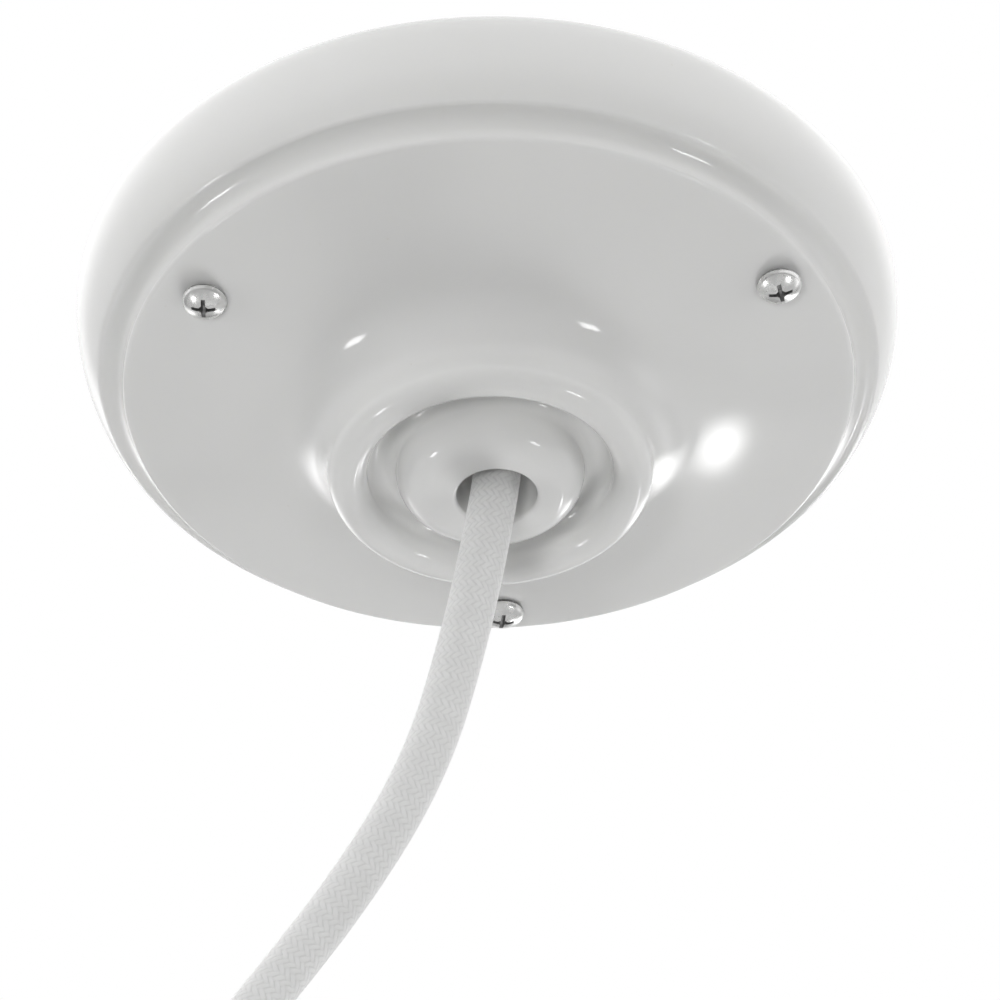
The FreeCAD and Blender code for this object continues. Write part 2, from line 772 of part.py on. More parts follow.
def report_cord(name, solid, diameter, length, radii):
    """Print a cord's length, its arc radii and how its volume compares with its section times its length."""
    ideal = math.pi * diameter ** 2 / 4 * length
    shown = " ".join("%.0f" % r for r in radii)
    print("%s length %.1f volume ratio %.4f radii %s" % (name, length, solid.Volume / ideal, shown))


def make_cores():
    """Cores from the end of the braid up and over to the inner ends of the tubes."""
    made = {}
    front = block_y + tube_length / 2
    for name, x in tubes.items():
        start = polar(core_lay, core_angles[name]) + V(grip_x, 0, -sheath_top)
        crest = -sheet - core_crest[name]
        route = [
            start,
            V(start.x, start.y, (start.z + crest) / 2),
            V(start.x + (x - start.x) * core_crest_share, core_crest_y, crest),
            V(x, front + core_lead_in, tube_level + core_lead_rise),
            V(x, front, tube_level),
        ]
        made["core_" + name] = with_wire(swept(route, core_d)[0], route[-1], V(0, -1, 0))
    return made


def with_wire(core, end, direction):
    """Core with its bared wire, which runs on into the tube from the core's end."""
    wire = cylinder(wire_d / 2, wire_entry + past, end - direction * past, direction)
    return core.fuse(wire).removeSplitter()


def make_link(barrel_end, toward):
    """Link wire from the ring lug on the bracket round the block to the outer end of the earth tube."""
    back = block_y - tube_length / 2
    side = -(block_width / 2 + link_gap)
    route = [
        barrel_end,
        barrel_end + toward * link_straight,
        V(side, block_y + block_length / 2 - link_turn_in, tube_level),
        V(side, back - link_turn_in, tube_level),
        V(link_corner_x, back - link_bow, tube_level),
        V(0, back - link_lead_in, tube_level),
        V(0, back, tube_level),
    ]
    return with_wire(swept(route, core_d)[0], route[-1], V(0, 1, 0))


def make_cord():
    """Cord from the grip to the coil, the coil, its tie, the free end and its cores."""
    made = {}
    coil_half = cord_d * coil_turns_across / 2
    section = []
    for x, z in ((-1, -1), (1, -1), (1, 1), (-1, 1)):
        section.append((V(coil_r + x * coil_half, 0, z * coil_half), cord_d / 2))
    coil = Part.Face(Part.Wire(rounded_outline(section))).revolve(V(0, 0, 0), V(0, 0, 1), 360)
    coil = coil.rotated(V(0, 0, 0), V(1, 0, 0), 90).translated(V(coil_x, 0, coil_z))
    made["cord_coil"] = coil
    for name, points in (("cord", cord_route), ("cord_tail", tail_route)):
        bar, length, radii = swept([V(*p) for p in points], cord_d)
        report_cord(name, bar, cord_d, length, radii)
        made[name] = largest(bar.cut(coil))
    made["coil_tie"] = make_tie(coil_half)
    made.update(make_free_end(V(*tail_route[-2]), V(*tail_route[-1])))
    return made


def largest(shape):
    """Largest solid of a shape."""
    return max(shape.Solids, key=lambda solid: solid.Volume)


def make_tie(coil_half):
    """Closed strap round the turns of the coil."""
    inner = coil_half + tie_gap
    outer = inner + tie_thick
    rings = []
    for reach, corner in ((outer, tie_corner + tie_thick), (inner, tie_corner)):
        points = [(V(coil_r + a * reach, 0, b * reach), corner) for a, b in ((-1, -1), (1, -1), (1, 1), (-1, 1))]
        rings.append(Part.Face(Part.Wire(rounded_outline(points))).extrude(V(0, tie_width, 0)))
    strap = rings[0].cut(rings[1]).translated(V(0, -tie_width / 2, 0))
    strap = strap.rotated(V(0, 0, 0), V(0, 0, 1), tie_angle)
    return strap.rotated(V(0, 0, 0), V(1, 0, 0), 90).translated(V(coil_x, 0, coil_z))


def make_free_end(before, end):
    """Shrunk sleeve over the end of the braid, and three cores that splay below it to crimped ferrules."""
    made = {}
    down = (end - before).normalize()
    low = end + down * sleeve_end
    sleeve = cylinder(cord_d / 2 + sleeve_wall, sleeve_length, low, down * -1)
    made["end_sleeve"] = sleeve.cut(cylinder(cord_d / 2, sleeve_length, end, down * -1))
    for i, name in enumerate(("live", "neutral", "earth")):
        out = polar(1, 90 + 120 * i)
        out = (out - down * out.dot(down)).normalize()
        start = low + out * core_lay
        route = [
            start,
            start + down * end_straight,
            start + down * end_bend + out * end_splay,
            start + down * end_core_length + out * end_spread,
        ]
        core = swept(route, core_d)[0]
        along = (route[-1] - route[-2]).normalize()
        ferrule = cylinder(ferrule_d / 2, ferrule_length, route[-1], along)
        made["end_core_" + name] = core
        made["ferrule_" + name] = ferrule
    return made


nodes = {"rose_cover": make_cover(), "mounting_bracket": make_bracket()}
nodes.update(make_cover_screws())
nodes.update(make_grip())
nodes.update(make_terminals())
earth_pieces, barrel_end, link_way = make_earth()
nodes.update(earth_pieces)
nodes.update(make_cores())
nodes["earth_link"] = make_link(barrel_end, link_way)
nodes.update(make_cord())

os.makedirs("parts", exist_ok=True)
for name, shape in nodes.items():
    if not shape.isValid() or len(shape.Solids) != 1:
        print("look at", name, shape.isValid(), len(shape.Solids))
    shape.exportStep("parts/" + name + ".step")
print(len(nodes), "nodes")
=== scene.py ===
import logging
import math
from dataclasses import dataclass, field
from enum import Enum
from typing import Callable, Iterable, List, Optional, Sequence, Tuple, Union

import bmesh
import bpy
from mathutils import Matrix, Vector


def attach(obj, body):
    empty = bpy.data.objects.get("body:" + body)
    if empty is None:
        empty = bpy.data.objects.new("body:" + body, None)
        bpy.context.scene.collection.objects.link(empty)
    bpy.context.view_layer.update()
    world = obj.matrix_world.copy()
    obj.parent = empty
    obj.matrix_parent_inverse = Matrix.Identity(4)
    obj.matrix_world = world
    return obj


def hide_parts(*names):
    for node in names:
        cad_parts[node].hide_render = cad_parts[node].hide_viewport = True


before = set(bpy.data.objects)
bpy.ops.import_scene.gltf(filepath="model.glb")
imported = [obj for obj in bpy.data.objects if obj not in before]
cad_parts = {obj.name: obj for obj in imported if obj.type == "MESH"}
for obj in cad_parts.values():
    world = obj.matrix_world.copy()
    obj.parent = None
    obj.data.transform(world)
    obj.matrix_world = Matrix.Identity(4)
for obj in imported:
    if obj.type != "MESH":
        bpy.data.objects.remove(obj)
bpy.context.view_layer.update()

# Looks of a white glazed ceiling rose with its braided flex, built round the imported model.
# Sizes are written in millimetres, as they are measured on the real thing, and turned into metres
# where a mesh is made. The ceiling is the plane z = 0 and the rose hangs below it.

MM = 0.001
WIRES = ("live", "earth", "neutral")
CORNERS = ((-1, -1), (1, -1), (1, 1), (-1, 1))
LOG = logging.getLogger("ceiling_rose")

Point2 = Tuple[float, float]
Point3 = Tuple[float, float, float]
Colour = Tuple[float, float, float]
Piece = bpy.types.Object
Material = bpy.types.Material
Socket = bpy.types.NodeSocket
Input = Union[float, Tuple[float, ...], Socket]

# Ranges of a noise: nearly all of its values, and its middle
CLOUDY: Point2 = (0.3, 0.7)
PATCHY: Point2 = (0.35, 0.65)

# Shares of a wedge's length and width that are left at its far end
DRAWN_IN: Point2 = (0.55, 0.6)


class Slot(Enum):
    """Names of material slots, one for each kind of new piece."""

    GLAZE = "glaze"
    STEEL = "plated_steel"
    BRAID = "braid"


class Joining(Enum):
    """Ways to combine two solids."""

    CUT = "DIFFERENCE"
    ADD = "UNION"


# Shader graphs


class Nodes:
    """Node tree of a finish, a lamp or the surroundings, with short ways to add what it needs."""

    def __init__(self, tree: bpy.types.NodeTree) -> None:
        """Take a tree over and empty it."""
        tree.nodes.clear()
        self.tree = tree

    def add(self, kind: str) -> bpy.types.Node:
        """New node of a kind."""
        return self.tree.nodes.new("ShaderNode" + kind)

    def feed(self, socket: Socket, value: Input) -> None:
        """Link a socket to another, or set its value."""
        if isinstance(value, Socket):
            self.tree.links.new(value, socket)
        elif isinstance(value, tuple) and len(value) == 3 and len(socket.default_value) == 4:
            socket.default_value = (*value, 1.0)
        else:
            socket.default_value = value

    def show(self, shader: bpy.types.Node, output: str) -> None:
        """Lead a shader to the tree's output."""
        self.feed(self.add(output).inputs[0], shader.outputs[0])

    def parts_of(self, vector: Input) -> List[Socket]:
        """The three numbers of a vector."""
        node = self.add("SeparateXYZ")
        self.feed(node.inputs[0], vector)
        return list(node.outputs)

    def math(self, operation: str, *values: Input) -> Socket:
        """Result of a sum on up to three numbers."""
        node = self.add("Math")
        node.operation = operation
        for socket, value in zip(node.inputs, values):
            self.feed(socket, value)
        return node.outputs[0]

    def span(self, value: Input, low: float, high: float, first: float = 0.0, last: float = 1.0) -> Socket:
        """Value carried smoothly from one range to another and held at its ends."""
        node = self.add("MapRange")
        node.interpolation_type = "SMOOTHSTEP"
        for socket, number in zip(node.inputs, (value, low, high, first, last)):
            self.feed(socket, number)
        return node.outputs[0]


class Graph(Nodes):
    """Node tree of one finish, round its shader and the place in the object's own frame."""

    def __init__(self, name: str) -> None:
        """Start a material that holds one shader."""
        self.material = bpy.data.materials.new(name)
        self.material.use_nodes = True
        super().__init__(self.material.node_tree)
        self.shader = self.add("BsdfPrincipled")
        self.show(self.shader, "OutputMaterial")
        self.place = self.add("TexCoord").outputs["Object"]

    def set(self, **values: Input) -> None:
        """Set the shader's sockets, named with an underscore for each space."""
        for name, value in values.items():
            self.feed(self.shader.inputs[name.replace("_", " ")], value)

    def noise(self, scale: float, detail: float = 3.0, stretch: Optional[Point3] = None) -> Socket:
        """Soft noise from 0 to 1.

        Args:
            scale: waves per metre.
            detail: how many finer waves lie on top.
            stretch: factors on the place; a small one draws the noise out along its axis.

        Returns:
            The noise as one number.
        """
        node = self.add("TexNoise")
        self.feed(node.inputs["Vector"], self.stretched(stretch) if stretch else self.place)
        node.inputs["Scale"].default_value = scale
        node.inputs["Detail"].default_value = detail
        return node.outputs["Fac"]

    def stretched(self, factors: Point3) -> Socket:
        """Place with each of its numbers multiplied."""
        node = self.add("VectorMath")
        node.operation = "MULTIPLY"
        self.feed(node.inputs[0], self.place)
        node.inputs[1].default_value = factors
        return node.outputs[0]

    def cells(self, scale: float) -> Socket:
        """Distance to the nearest of many scattered points."""
        node = self.add("TexVoronoi")
        self.feed(node.inputs["Vector"], self.place)
        node.inputs["Scale"].default_value = scale
        return node.outputs["Distance"]

    def mix(self, share: Input, first: Input, second: Input) -> Socket:
        """Colour between two colours."""
        node = self.add("Mix")
        node.data_type = "RGBA"
        for number, value in ((0, share), (6, first), (7, second)):
            self.feed(node.inputs[number], value)
        return node.outputs[2]

    def bump(self, height: Input, distance: float, below: Optional[Socket] = None) -> Socket:
        """Normal of a relief whose height of 1 is a distance in metres, on top of another relief."""
        node = self.add("Bump")
        node.inputs["Distance"].default_value = distance
        self.feed(node.inputs["Height"], height)
        if below is not None:
            self.feed(node.inputs["Normal"], below)
        return node.outputs[0]


# Finishes


@dataclass(frozen=True)
class Glaze:
    """White glaze over fired clay, bare and dull on the foot that meets the ceiling."""

    white: Colour = (0.80, 0.80, 0.795)
    thin: Colour = (0.775, 0.775, 0.765)
    clay: Colour = (0.71, 0.69, 0.65)
    roughness: float = 0.085
    depth: float = 3.0 * MM
    cloud_scale: float = 40.0
    speck_scale: float = 160.0
    speck_size: Point2 = (0.02, 0.035)
    speck_share: float = 0.35
    wave_scale: float = 70.0
    wave_height: float = 0.022 * MM
    peel_scale: float = 650.0
    peel_height: float = 0.0008 * MM
    foot: float = 0.7 * MM
    foot_roughness: float = 0.7
    grain_scale: float = 2600.0
    grain_height: float = 0.06 * MM

    def material(self) -> Material:
        """Build the finish."""
        graph = Graph("white_glaze")
        height = graph.parts_of(graph.place)[2]
        foot = graph.span(height, -self.foot, -0.5 * self.foot)
        speck = graph.span(graph.cells(self.speck_scale), *self.speck_size, 1.0, 0.0)
        colour = graph.mix(graph.noise(self.cloud_scale), self.thin, self.white)
        colour = graph.mix(graph.math("MULTIPLY", speck, self.speck_share), colour, self.clay)
        relief = graph.bump(graph.noise(self.wave_scale, 1.0), self.wave_height)
        relief = graph.bump(graph.noise(self.peel_scale, 2.0), self.peel_height, relief)
        grain = graph.math("MULTIPLY", graph.noise(self.grain_scale, 5.0), foot)
        graph.set(
            Base_Color=graph.mix(foot, colour, self.clay),
            Roughness=graph.math("MULTIPLY_ADD", foot, self.foot_roughness, self.roughness),
            Normal=graph.bump(grain, self.grain_height, relief), IOR=1.5,
            Subsurface_Weight=0.3, Subsurface_Scale=self.depth, Subsurface_Radius=(1.0, 1.0, 0.95),
        )
        return graph.material


@dataclass(frozen=True)
class PlatedSheet:
    """Bright zinc plate on rolled and pressed steel sheet."""

    light: Colour = (0.66, 0.66, 0.65)
    dull: Colour = (0.50, 0.505, 0.51)
    smooth: float = 0.26
    rough: float = 0.42
    cloud_scale: float = 90.0
    spangle_scale: float = 420.0
    spangle_share: float = 0.35
    rolled_scale: float = 2500.0
    rolled_stretch: Point3 = (0.04, 1.0, 1.0)
    relief_height: float = 0.004 * MM

    def material(self) -> Material:
        """Build the finish."""
        graph = Graph("zinc_sheet")
        spangle = graph.cells(self.spangle_scale)
        cloud = graph.noise(self.cloud_scale, 4.0)
        share = graph.span(graph.math("MULTIPLY_ADD", spangle, self.spangle_share, cloud), 0.35, 0.85)
        relief = graph.bump(graph.noise(self.rolled_scale, 2.0, self.rolled_stretch), self.relief_height)
        graph.set(
            Base_Color=graph.mix(share, self.dull, self.light), Metallic=1.0,
            Roughness=graph.span(cloud, *CLOUDY, self.smooth, self.rough),
            Normal=graph.bump(spangle, self.relief_height, relief),
        )
        return graph.material


@dataclass(frozen=True)
class Relief:
    """Fine relief from a noise, with its scale in waves per metre and its height in metres."""

    scale: float
    detail: float
    height: float
    stretch: Optional[Point3] = None


@dataclass(frozen=True)
class Worn:
    """Finish whose colour and roughness change with a cloud, from its low places to its high ones."""

    name: str
    low: Colour
    high: Colour
    low_rough: float
    high_rough: float
    stripe: Optional[Colour] = None
    stripe_wave: float = 5.6 * MM
    stripe_edge: Point2 = (0.05, 0.25)
    cloud: Point2 = (220.0, 3.0)
    cloud_range: Point2 = PATCHY
    reliefs: Sequence[Relief] = (Relief(3200.0, 3.0, 0.004 * MM),)
    metal: float = 0.0
    refraction: float = 1.49

    def material(self) -> Material:
        """Build the finish."""
        graph = Graph(self.name)
        cloud = graph.noise(*self.cloud)
        colour = graph.mix(graph.span(cloud, *self.cloud_range), self.low, self.high)
        if self.stripe:
            across = graph.math("ADD", *graph.parts_of(graph.place)[:2])
            turn = graph.math("MULTIPLY", across, math.tau / self.stripe_wave)
            band = graph.span(graph.math("SINE", turn), *self.stripe_edge)
            colour = graph.mix(band, colour, self.stripe)
        normal = None
        for relief in self.reliefs:
            noise = graph.noise(relief.scale, relief.detail, relief.stretch)
            normal = graph.bump(noise, relief.height, normal)
        graph.set(
            Base_Color=colour, Metallic=self.metal, IOR=self.refraction, Normal=normal,
            Roughness=graph.span(cloud, *CLOUDY, self.low_rough, self.high_rough),
        )
        return graph.material


@dataclass(frozen=True)
class PlatedScrew(Worn):
    """Zinc plate on a cold-headed screw, with faint die marks and handling scratches."""

    name: str = "zinc_screw"
    low: Colour = (0.82, 0.82, 0.81)
    high: Colour = (0.94, 0.94, 0.93)
    low_rough: float = 0.34
    high_rough: float = 0.22
    cloud: Point2 = (900.0, 3.0)
    reliefs: Sequence[Relief] = (
        Relief(1100.0, 2.0, 0.008 * MM), Relief(5200.0, 2.0, 0.0015 * MM, (1.0, 0.08, 1.0)))
    metal: float = 1.0
    refraction: float = 1.5


@dataclass(frozen=True)
class TurnedMetal(Worn):
    """Metal with fine turning rings: brass, or tin over copper."""

    name: str = "turned_brass"
    low: Colour = (0.80, 0.59, 0.27)
    high: Colour = (0.62, 0.42, 0.17)
    low_rough: float = 0.26
    high_rough: float = 0.40
    cloud: Point2 = (260.0, 4.0)
    cloud_range: Point2 = (0.35, 0.7)
    reliefs: Sequence[Relief] = (Relief(5200.0, 1.0, 0.004 * MM, (0.1, 1.0, 0.1)),)
    metal: float = 1.0
    refraction: float = 1.5


def moulded(name: str, colour: Colour, rough: float = 0.42, stripe: Optional[Colour] = None) -> Worn:
    """Moulded or drawn plastic, plain or with a stripe, darker and smoother where it is worn."""
    worn = tuple(0.88 * number for number in colour)
    return Worn("moulded_" + name, worn, colour, rough, rough + 0.1, stripe)


@dataclass(frozen=True)
class Braid:
    """White plaited jacket: each strand of yarns runs over two others and under two.

    The lead is how many diameters of cord a strand takes to go once round.
    """

    strands: int = 20
    lead: float = 3.6
    yarns: int = 3
    # Colour of the strand tops, and a darker colour painted as shade into the gaps between strands and also
    # used for random patches
    light: Colour = (0.76, 0.76, 0.755)
    gap_shade_and_patch: Colour = (0.66, 0.66, 0.655)
    shade_range: Point2 = (0.35, 1.1)
    relief: float = 0.06 * MM
    stray: float = 0.028
    stray_scale: Point2 = (520.0, 760.0)
    stray_stretch: Point3 = (1.0, 1.0, 0.7)
    fuzz: float = 0.36
    fuzz_scale: float = 4200.0
    patch: float = 0.3
    patch_scale: float = 320.0
    lift: float = 0.42
    crown: int = 3
    yarn_relief: float = 0.12
    sheen: float = 0.95

    def material(self) -> Material:
        """Build the finish. It reads how far round and along the cord from the surface map."""
        graph = Graph("white_braid")
        around, along = graph.parts_of(graph.add("UVMap").outputs[0])[:2]
        bend = graph.math("SUBTRACT", graph.noise(self.stray_scale[0], 2.0), 0.5)
        shift = graph.math("SUBTRACT", graph.noise(self.stray_scale[1], 2.0, self.stray_stretch), 0.5)
        around = graph.math("MULTIPLY_ADD", bend, self.stray, around)
        along = graph.math("MULTIPLY_ADD", shift, self.stray * self.lead, along)
        slant = graph.math("DIVIDE", along, self.lead)
        right = graph.math("MULTIPLY", graph.math("ADD", around, slant), float(self.strands))
        left = graph.math("MULTIPLY", graph.math("SUBTRACT", around, slant), float(self.strands))
        over = self.strand(graph, right, left, 0.0)
        under = self.strand(graph, left, right, 1.0)
        height = graph.math("MAXIMUM", over, under)
        height = graph.math("MULTIPLY_ADD", graph.noise(self.fuzz_scale, 4.0), self.fuzz, height)
        # Painted shade: the colour darkens from the strands' tops into the gaps between them, and random
        # patches take the same darker colour
        colour = graph.mix(graph.span(height, *self.shade_range), self.gap_shade_and_patch, self.light)
        patch = graph.span(graph.noise(self.patch_scale), *PATCHY, 0.0, self.patch)
        graph.set(
            Base_Color=graph.mix(patch, colour, self.gap_shade_and_patch), Roughness=0.82,
            Normal=graph.bump(height, self.relief), Sheen_Weight=self.sheen, Sheen_Roughness=0.35,
        )
        return graph.material

    def strand(self, graph: Graph, own: Input, other: Input, offset: float) -> Socket:
        """Height of the strands of one hand.

        Args:
            graph: the node tree.
            own: coordinate across these strands, one unit each.
            other: coordinate across the strands of the other hand.
            offset: where these strands begin to run over the others.

        Returns:
            Height from 0 between strands to about 1 on top of one that runs over.
        """
        within = graph.math("FRACT", own)
        centred = graph.math("ABSOLUTE", graph.math("MULTIPLY_ADD", within, 2.0, -1.0))
        crown = graph.math("SUBTRACT", 1.0, graph.math("POWER", centred, float(self.crown)))
        phase = graph.math("ADD", graph.math("SUBTRACT", graph.math("FLOOR", own), other), offset)
        wave = graph.math("SINE", graph.math("MULTIPLY", phase, math.pi / 2))
        height = graph.math("MULTIPLY", crown, graph.math("MULTIPLY_ADD", wave, self.lift, 1.0 - self.lift))
        yarn = graph.math("SINE", graph.math("MULTIPLY", within, math.pi * self.yarns))
        ridge = graph.math("MULTIPLY", graph.math("ABSOLUTE", yarn), height)
        return graph.math("MULTIPLY_ADD", ridge, self.yarn_relief, height)

    def height_at(self, around: float, along: float) -> float:
        """Height of the plait as a number from 0 to 1, for the mesh's own relief."""
        slant = along / self.lead
        right, left = (around + slant) * self.strands, (around - slant) * self.strands
        tops = []
        for own, other, offset in ((right, left, 0.0), (left, right, 1.0)):
            within = own - math.floor(own)
            wave = math.sin((math.floor(own) - other + offset) * math.pi / 2)
            tops.append((1 - abs(2 * within - 1) ** self.crown) * (1 - self.lift + self.lift * wave))
        return max(tops)


# Meshes


def object_of(name: str, data: bpy.types.ID) -> Piece:
    """Object that shows a mesh, a curve, a lamp or a camera in the scene."""
    made = bpy.data.objects.new(name, data)
    bpy.context.scene.collection.objects.link(made)
    return made


def object_from(name: str, work: bmesh.types.BMesh) -> Piece:
    """Object with the faces of a working mesh, which is given up."""
    mesh = bpy.data.meshes.new(name)
    work.to_mesh(mesh)
    work.free()
    return object_of(name, mesh)


def smooth(mesh: bpy.types.Mesh, sharp_angle: float = 38.0) -> None:
    """Shade a mesh smooth, apart from edges sharper than an angle in degrees."""
    mesh.shade_smooth()
    mesh.set_sharp_from_angle(angle=math.radians(sharp_angle))


def applied(source: Piece) -> bpy.types.Mesh:
    """Mesh of an object with its modifiers applied."""
    bpy.context.view_layer.update()
    shown = source.evaluated_get(bpy.context.evaluated_depsgraph_get())
    return bpy.data.meshes.new_from_object(shown)


def settle(made: Piece) -> None:
    """Apply an object's modifiers to its own mesh."""
    mesh = applied(made)
    made.modifiers.clear()
    made.data = mesh


def drop(unused: Piece) -> None:
    """Take a helper object out of the scene."""
    bpy.data.objects.remove(unused, do_unlink=True)


def combined(made: Piece, tool: Piece, joining: Joining) -> Piece:
    """Cut a tool out of a solid or add it, and drop the tool."""
    change = made.modifiers.new("combined", "BOOLEAN")
    change.operation = joining.value
    change.solver = "EXACT"
    change.object = tool
    settle(made)
    drop(tool)
    return made


def bevelled(made: Piece, width: float, angle: float) -> None:
    """Let a modifier round off edges sharper than an angle in degrees, by a width in millimetres."""
    change = made.modifiers.new("soft", "BEVEL")
    change.width = width * MM
    change.segments = 2
    change.limit_method = "ANGLE"
    change.angle_limit = math.radians(angle)


class Outline:
    """Half section of a turned piece: points of radius and height, with arcs cut into short steps."""

    def __init__(self, step: float, bend: float = 8.0) -> None:
        """Start an outline.

        Args:
            step: longest step along an arc, in millimetres.
            bend: largest turn in one step, in degrees.
        """
        self.step = step
        self.bend = bend
        self.points: List[Point2] = []

    def to(self, *points: Point2) -> "Outline":
        """Go straight to each point, leaving out repeats."""
        for point in points:
            if not self.points or math.dist(point, self.points[-1]) > 1e-4:
                self.points.append(point)
        return self

    def arc(self, centre: Point2, radius: float, start: float, end: float) -> "Outline":
        """Follow a circle between two angles in degrees."""
        sweep = abs(end - start)
        count = max(math.ceil(math.radians(sweep) * radius / self.step), math.ceil(sweep / self.bend), 1)
        for i in range(count + 1):
            turn = math.radians(start + (end - start) * i / count)
            self.to((centre[0] + radius * math.cos(turn), centre[1] + radius * math.sin(turn)))
        return self


def lofted(name: str, rings: Sequence[Sequence[Point3]], closed: bool = False) -> Piece:
    """Piece with faces from ring to ring.

    Args:
        name: name of the object.
        rings: points of each ring in millimetres, as many in each.
        closed: whether the last ring joins the first; otherwise each end gets a cap.

    Returns:
        The object, with its vertices in metres.
    """
    work = bmesh.new()
    loops = [[work.verts.new([number * MM for number in point]) for point in ring] for ring in rings]
    pairs = list(zip(loops, loops[1:]))
    if closed:
        pairs.append((loops[-1], loops[0]))
    for low, high in pairs:
        for i in range(len(low)):
            j = (i + 1) % len(low)
            work.faces.new((low[i], low[j], high[j], high[i]))
    if not closed:
        work.faces.new(loops[0])
        work.faces.new(loops[-1])
    bmesh.ops.recalc_face_normals(work, faces=work.faces)
    return object_from(name, work)


def turned(
    name: str, rings: Sequence[Point3], segments: int, closed: bool = False,
    wobble: Optional[Callable[[float, float, float], float]] = None,
) -> Piece:
    """Turned piece from rings.

    Args:
        name: name of the object.
        rings: radius, height and sideways shift of each ring, in millimetres.
        segments: flats round each ring.
        closed: whether the last ring joins the first; otherwise each end gets a cap.
        wobble: change of radius from the turn, radius and height of a point, in millimetres.

    Returns:
        The object, with its vertices in metres.
    """
    loops = []
    for radius, height, shift in rings:
        loop = []
        for i in range(segments):
            turn = math.tau * i / segments
            reach = radius + (wobble(turn, radius, height) if wobble else 0.0)
            loop.append((shift + reach * math.cos(turn), reach * math.sin(turn), height))
        loops.append(loop)
    return lofted(name, loops, closed)


def moved(made: Piece, place: Matrix) -> Piece:
    """Move a piece's vertices, so that its object stays at the origin."""
    made.data.transform(place)
    made.data.update()
    return made


def joined(name: str, pieces: Sequence[Piece]) -> Piece:
    """One object with the meshes of several."""
    work = bmesh.new()
    for piece in pieces:
        work.from_mesh(piece.data)
        drop(piece)
    return object_from(name, work)


def dressed(made: Piece, finish: Material, slot: Slot, *nodes: str) -> Piece:
    """Give a new piece its finish, and let it ride on the rose in place of CAD nodes."""
    made.data.materials.clear()
    made.data.materials.append(finish)
    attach(made, "root")
    if nodes:
        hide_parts(*nodes)
    LOG.info("%s: %d faces", made.name, len(made.data.polygons))
    return made


# Cord


@dataclass
class Flex:
    """Braided flex from the cord grip down to its coil and on to the free end.

    Inward, backward and outward are the angles of the coil between which the cord moves to another lane.
    """

    diameter: float = 6.3
    exit: Point3 = (-0.9, 0.0, -35.7)
    length: float = 830.0
    route: Sequence[Point3] = (
        (0.8, 0.0, -12.0), (0.8, 0.0, -27.0), (-1.5, 0.0, -43.0), (-4.6, 0.0, -60.0), (-9.6, 0.0, -80.5),
        (-19.0, 0.0, -100.0), (-32.0, -0.4, -120.5), (-43.0, -2.2, -139.0), (-50.5, -3.15, -156.0),
    )
    tail: Sequence[Point3] = (
        (-55.35, 3.15, -174.5), (-56.15, 3.15, -190.5), (-55.15, 3.15, -206.0), (-55.95, 3.15, -221.0),
    )
    coil_centre: Point3 = (-19.2, 0.0, -174.5)
    coil_radius: float = 33.0
    first_angle: float = 165.0
    last_angle: float = 1245.0
    turn_points: int = 24
    inward: Point2 = (420.0, 520.0)
    backward: Point2 = (750.0, 850.0)
    outward: Point2 = (1080.0, 1180.0)
    line_steps: int = 64
    fine_length: float = 165.0
    fine_step: float = 0.3
    plain_step: float = 1.5
    plain_height: float = 0.6
    sides: int = 96
    skin: float = 0.035
    sharp_angle: float = 80.0
    braid: Braid = field(default_factory=Braid)
    path: List[Vector] = field(default_factory=list)

    def coil_points(self) -> List[Point3]:
        """Control points of the turns: each lane is a diameter from the next, beside it or inside it."""
        half = self.diameter / 2
        stretch = 1 / math.cos(math.pi / self.turn_points)
        count = round((self.last_angle - self.first_angle) * self.turn_points / 360)
        points = []
        for i in range(count + 1):
            angle = self.first_angle + 360 * i / self.turn_points
            inner = eased(angle, *self.inward) - eased(angle, *self.outward)
            back = eased(angle, *self.backward)
            radius = (self.coil_radius + half - self.diameter * inner) * stretch
            turn = math.radians(angle)
            points.append((
                self.coil_centre[0] + radius * math.cos(turn), -half + self.diameter * back,
                self.coil_centre[2] + radius * math.sin(turn)))
        return points

    def centreline(self) -> List[Vector]:
        """Points of the cord's own smooth line, read from its spline."""
        control = [*self.route, *self.coil_points(), *self.tail]
        curve = bpy.data.curves.new("flex_line", "CURVE")
        curve.dimensions = "3D"
        spline = curve.splines.new("NURBS")
        spline.points.add(len(control) - 1)
        for point, spot in zip(spline.points, control):
            point.co = (spot[0] * MM, spot[1] * MM, spot[2] * MM, 1.0)
        spline.order_u = 3
        spline.use_endpoint_u = True
        spline.resolution_u = self.line_steps
        helper = object_of("flex_line", curve)
        mesh = applied(helper)
        line = [vertex.co.copy() for vertex in mesh.vertices]
        drop(helper)
        bpy.data.meshes.remove(mesh)
        return line

    def stations(self, line: Sequence[Vector]) -> List[Tuple[Vector, float]]:
        """Places of the rings along the line, close together where the plait is seen from near."""
        reached, target, spots = 0.0, 0.0, []
        for start, end in zip(line, line[1:]):
            run = (end - start).length / MM
            while run and target <= reached + run:
                spots.append((start.lerp(end, (target - reached) / run), target))
                target += self.fine_step if target < self.fine_length else self.plain_step
            reached += run
        spots.append((line[-1], reached))
        return spots

    def build(self) -> Piece:
        """Make the cord as one tube with a plaited skin, and keep the places along its middle in metres."""
        spots = self.stations(self.centreline())
        self.path = [spot for spot, _ in spots]
        mesh = swept_mesh("flex_braided", spots, self.sides, self.radius_at)
        smooth(mesh, self.sharp_angle)
        made = object_of("flex_braided", mesh)
        LOG.info("flex: %.1f mm along its middle", spots[-1][1])
        return dressed(made, self.braid.material(), Slot.BRAID, "cord", "cord_coil", "cord_tail")

    def radius_at(self, around: float, along: float) -> float:
        """Radius of the jacket in millimetres at a share of a turn and a distance along."""
        plaited = along < self.fine_length
        top = self.braid.height_at(around, along / self.diameter) if plaited else self.plain_height
        return self.diameter / 2 - self.skin * (1 - top)


def eased(value: float, start: float, end: float) -> float:
    """Rise from 0 to 1 between two values, level at both ends."""
    share = min(max((value - start) / (end - start), 0.0), 1.0)
    return share * share * (3 - 2 * share)


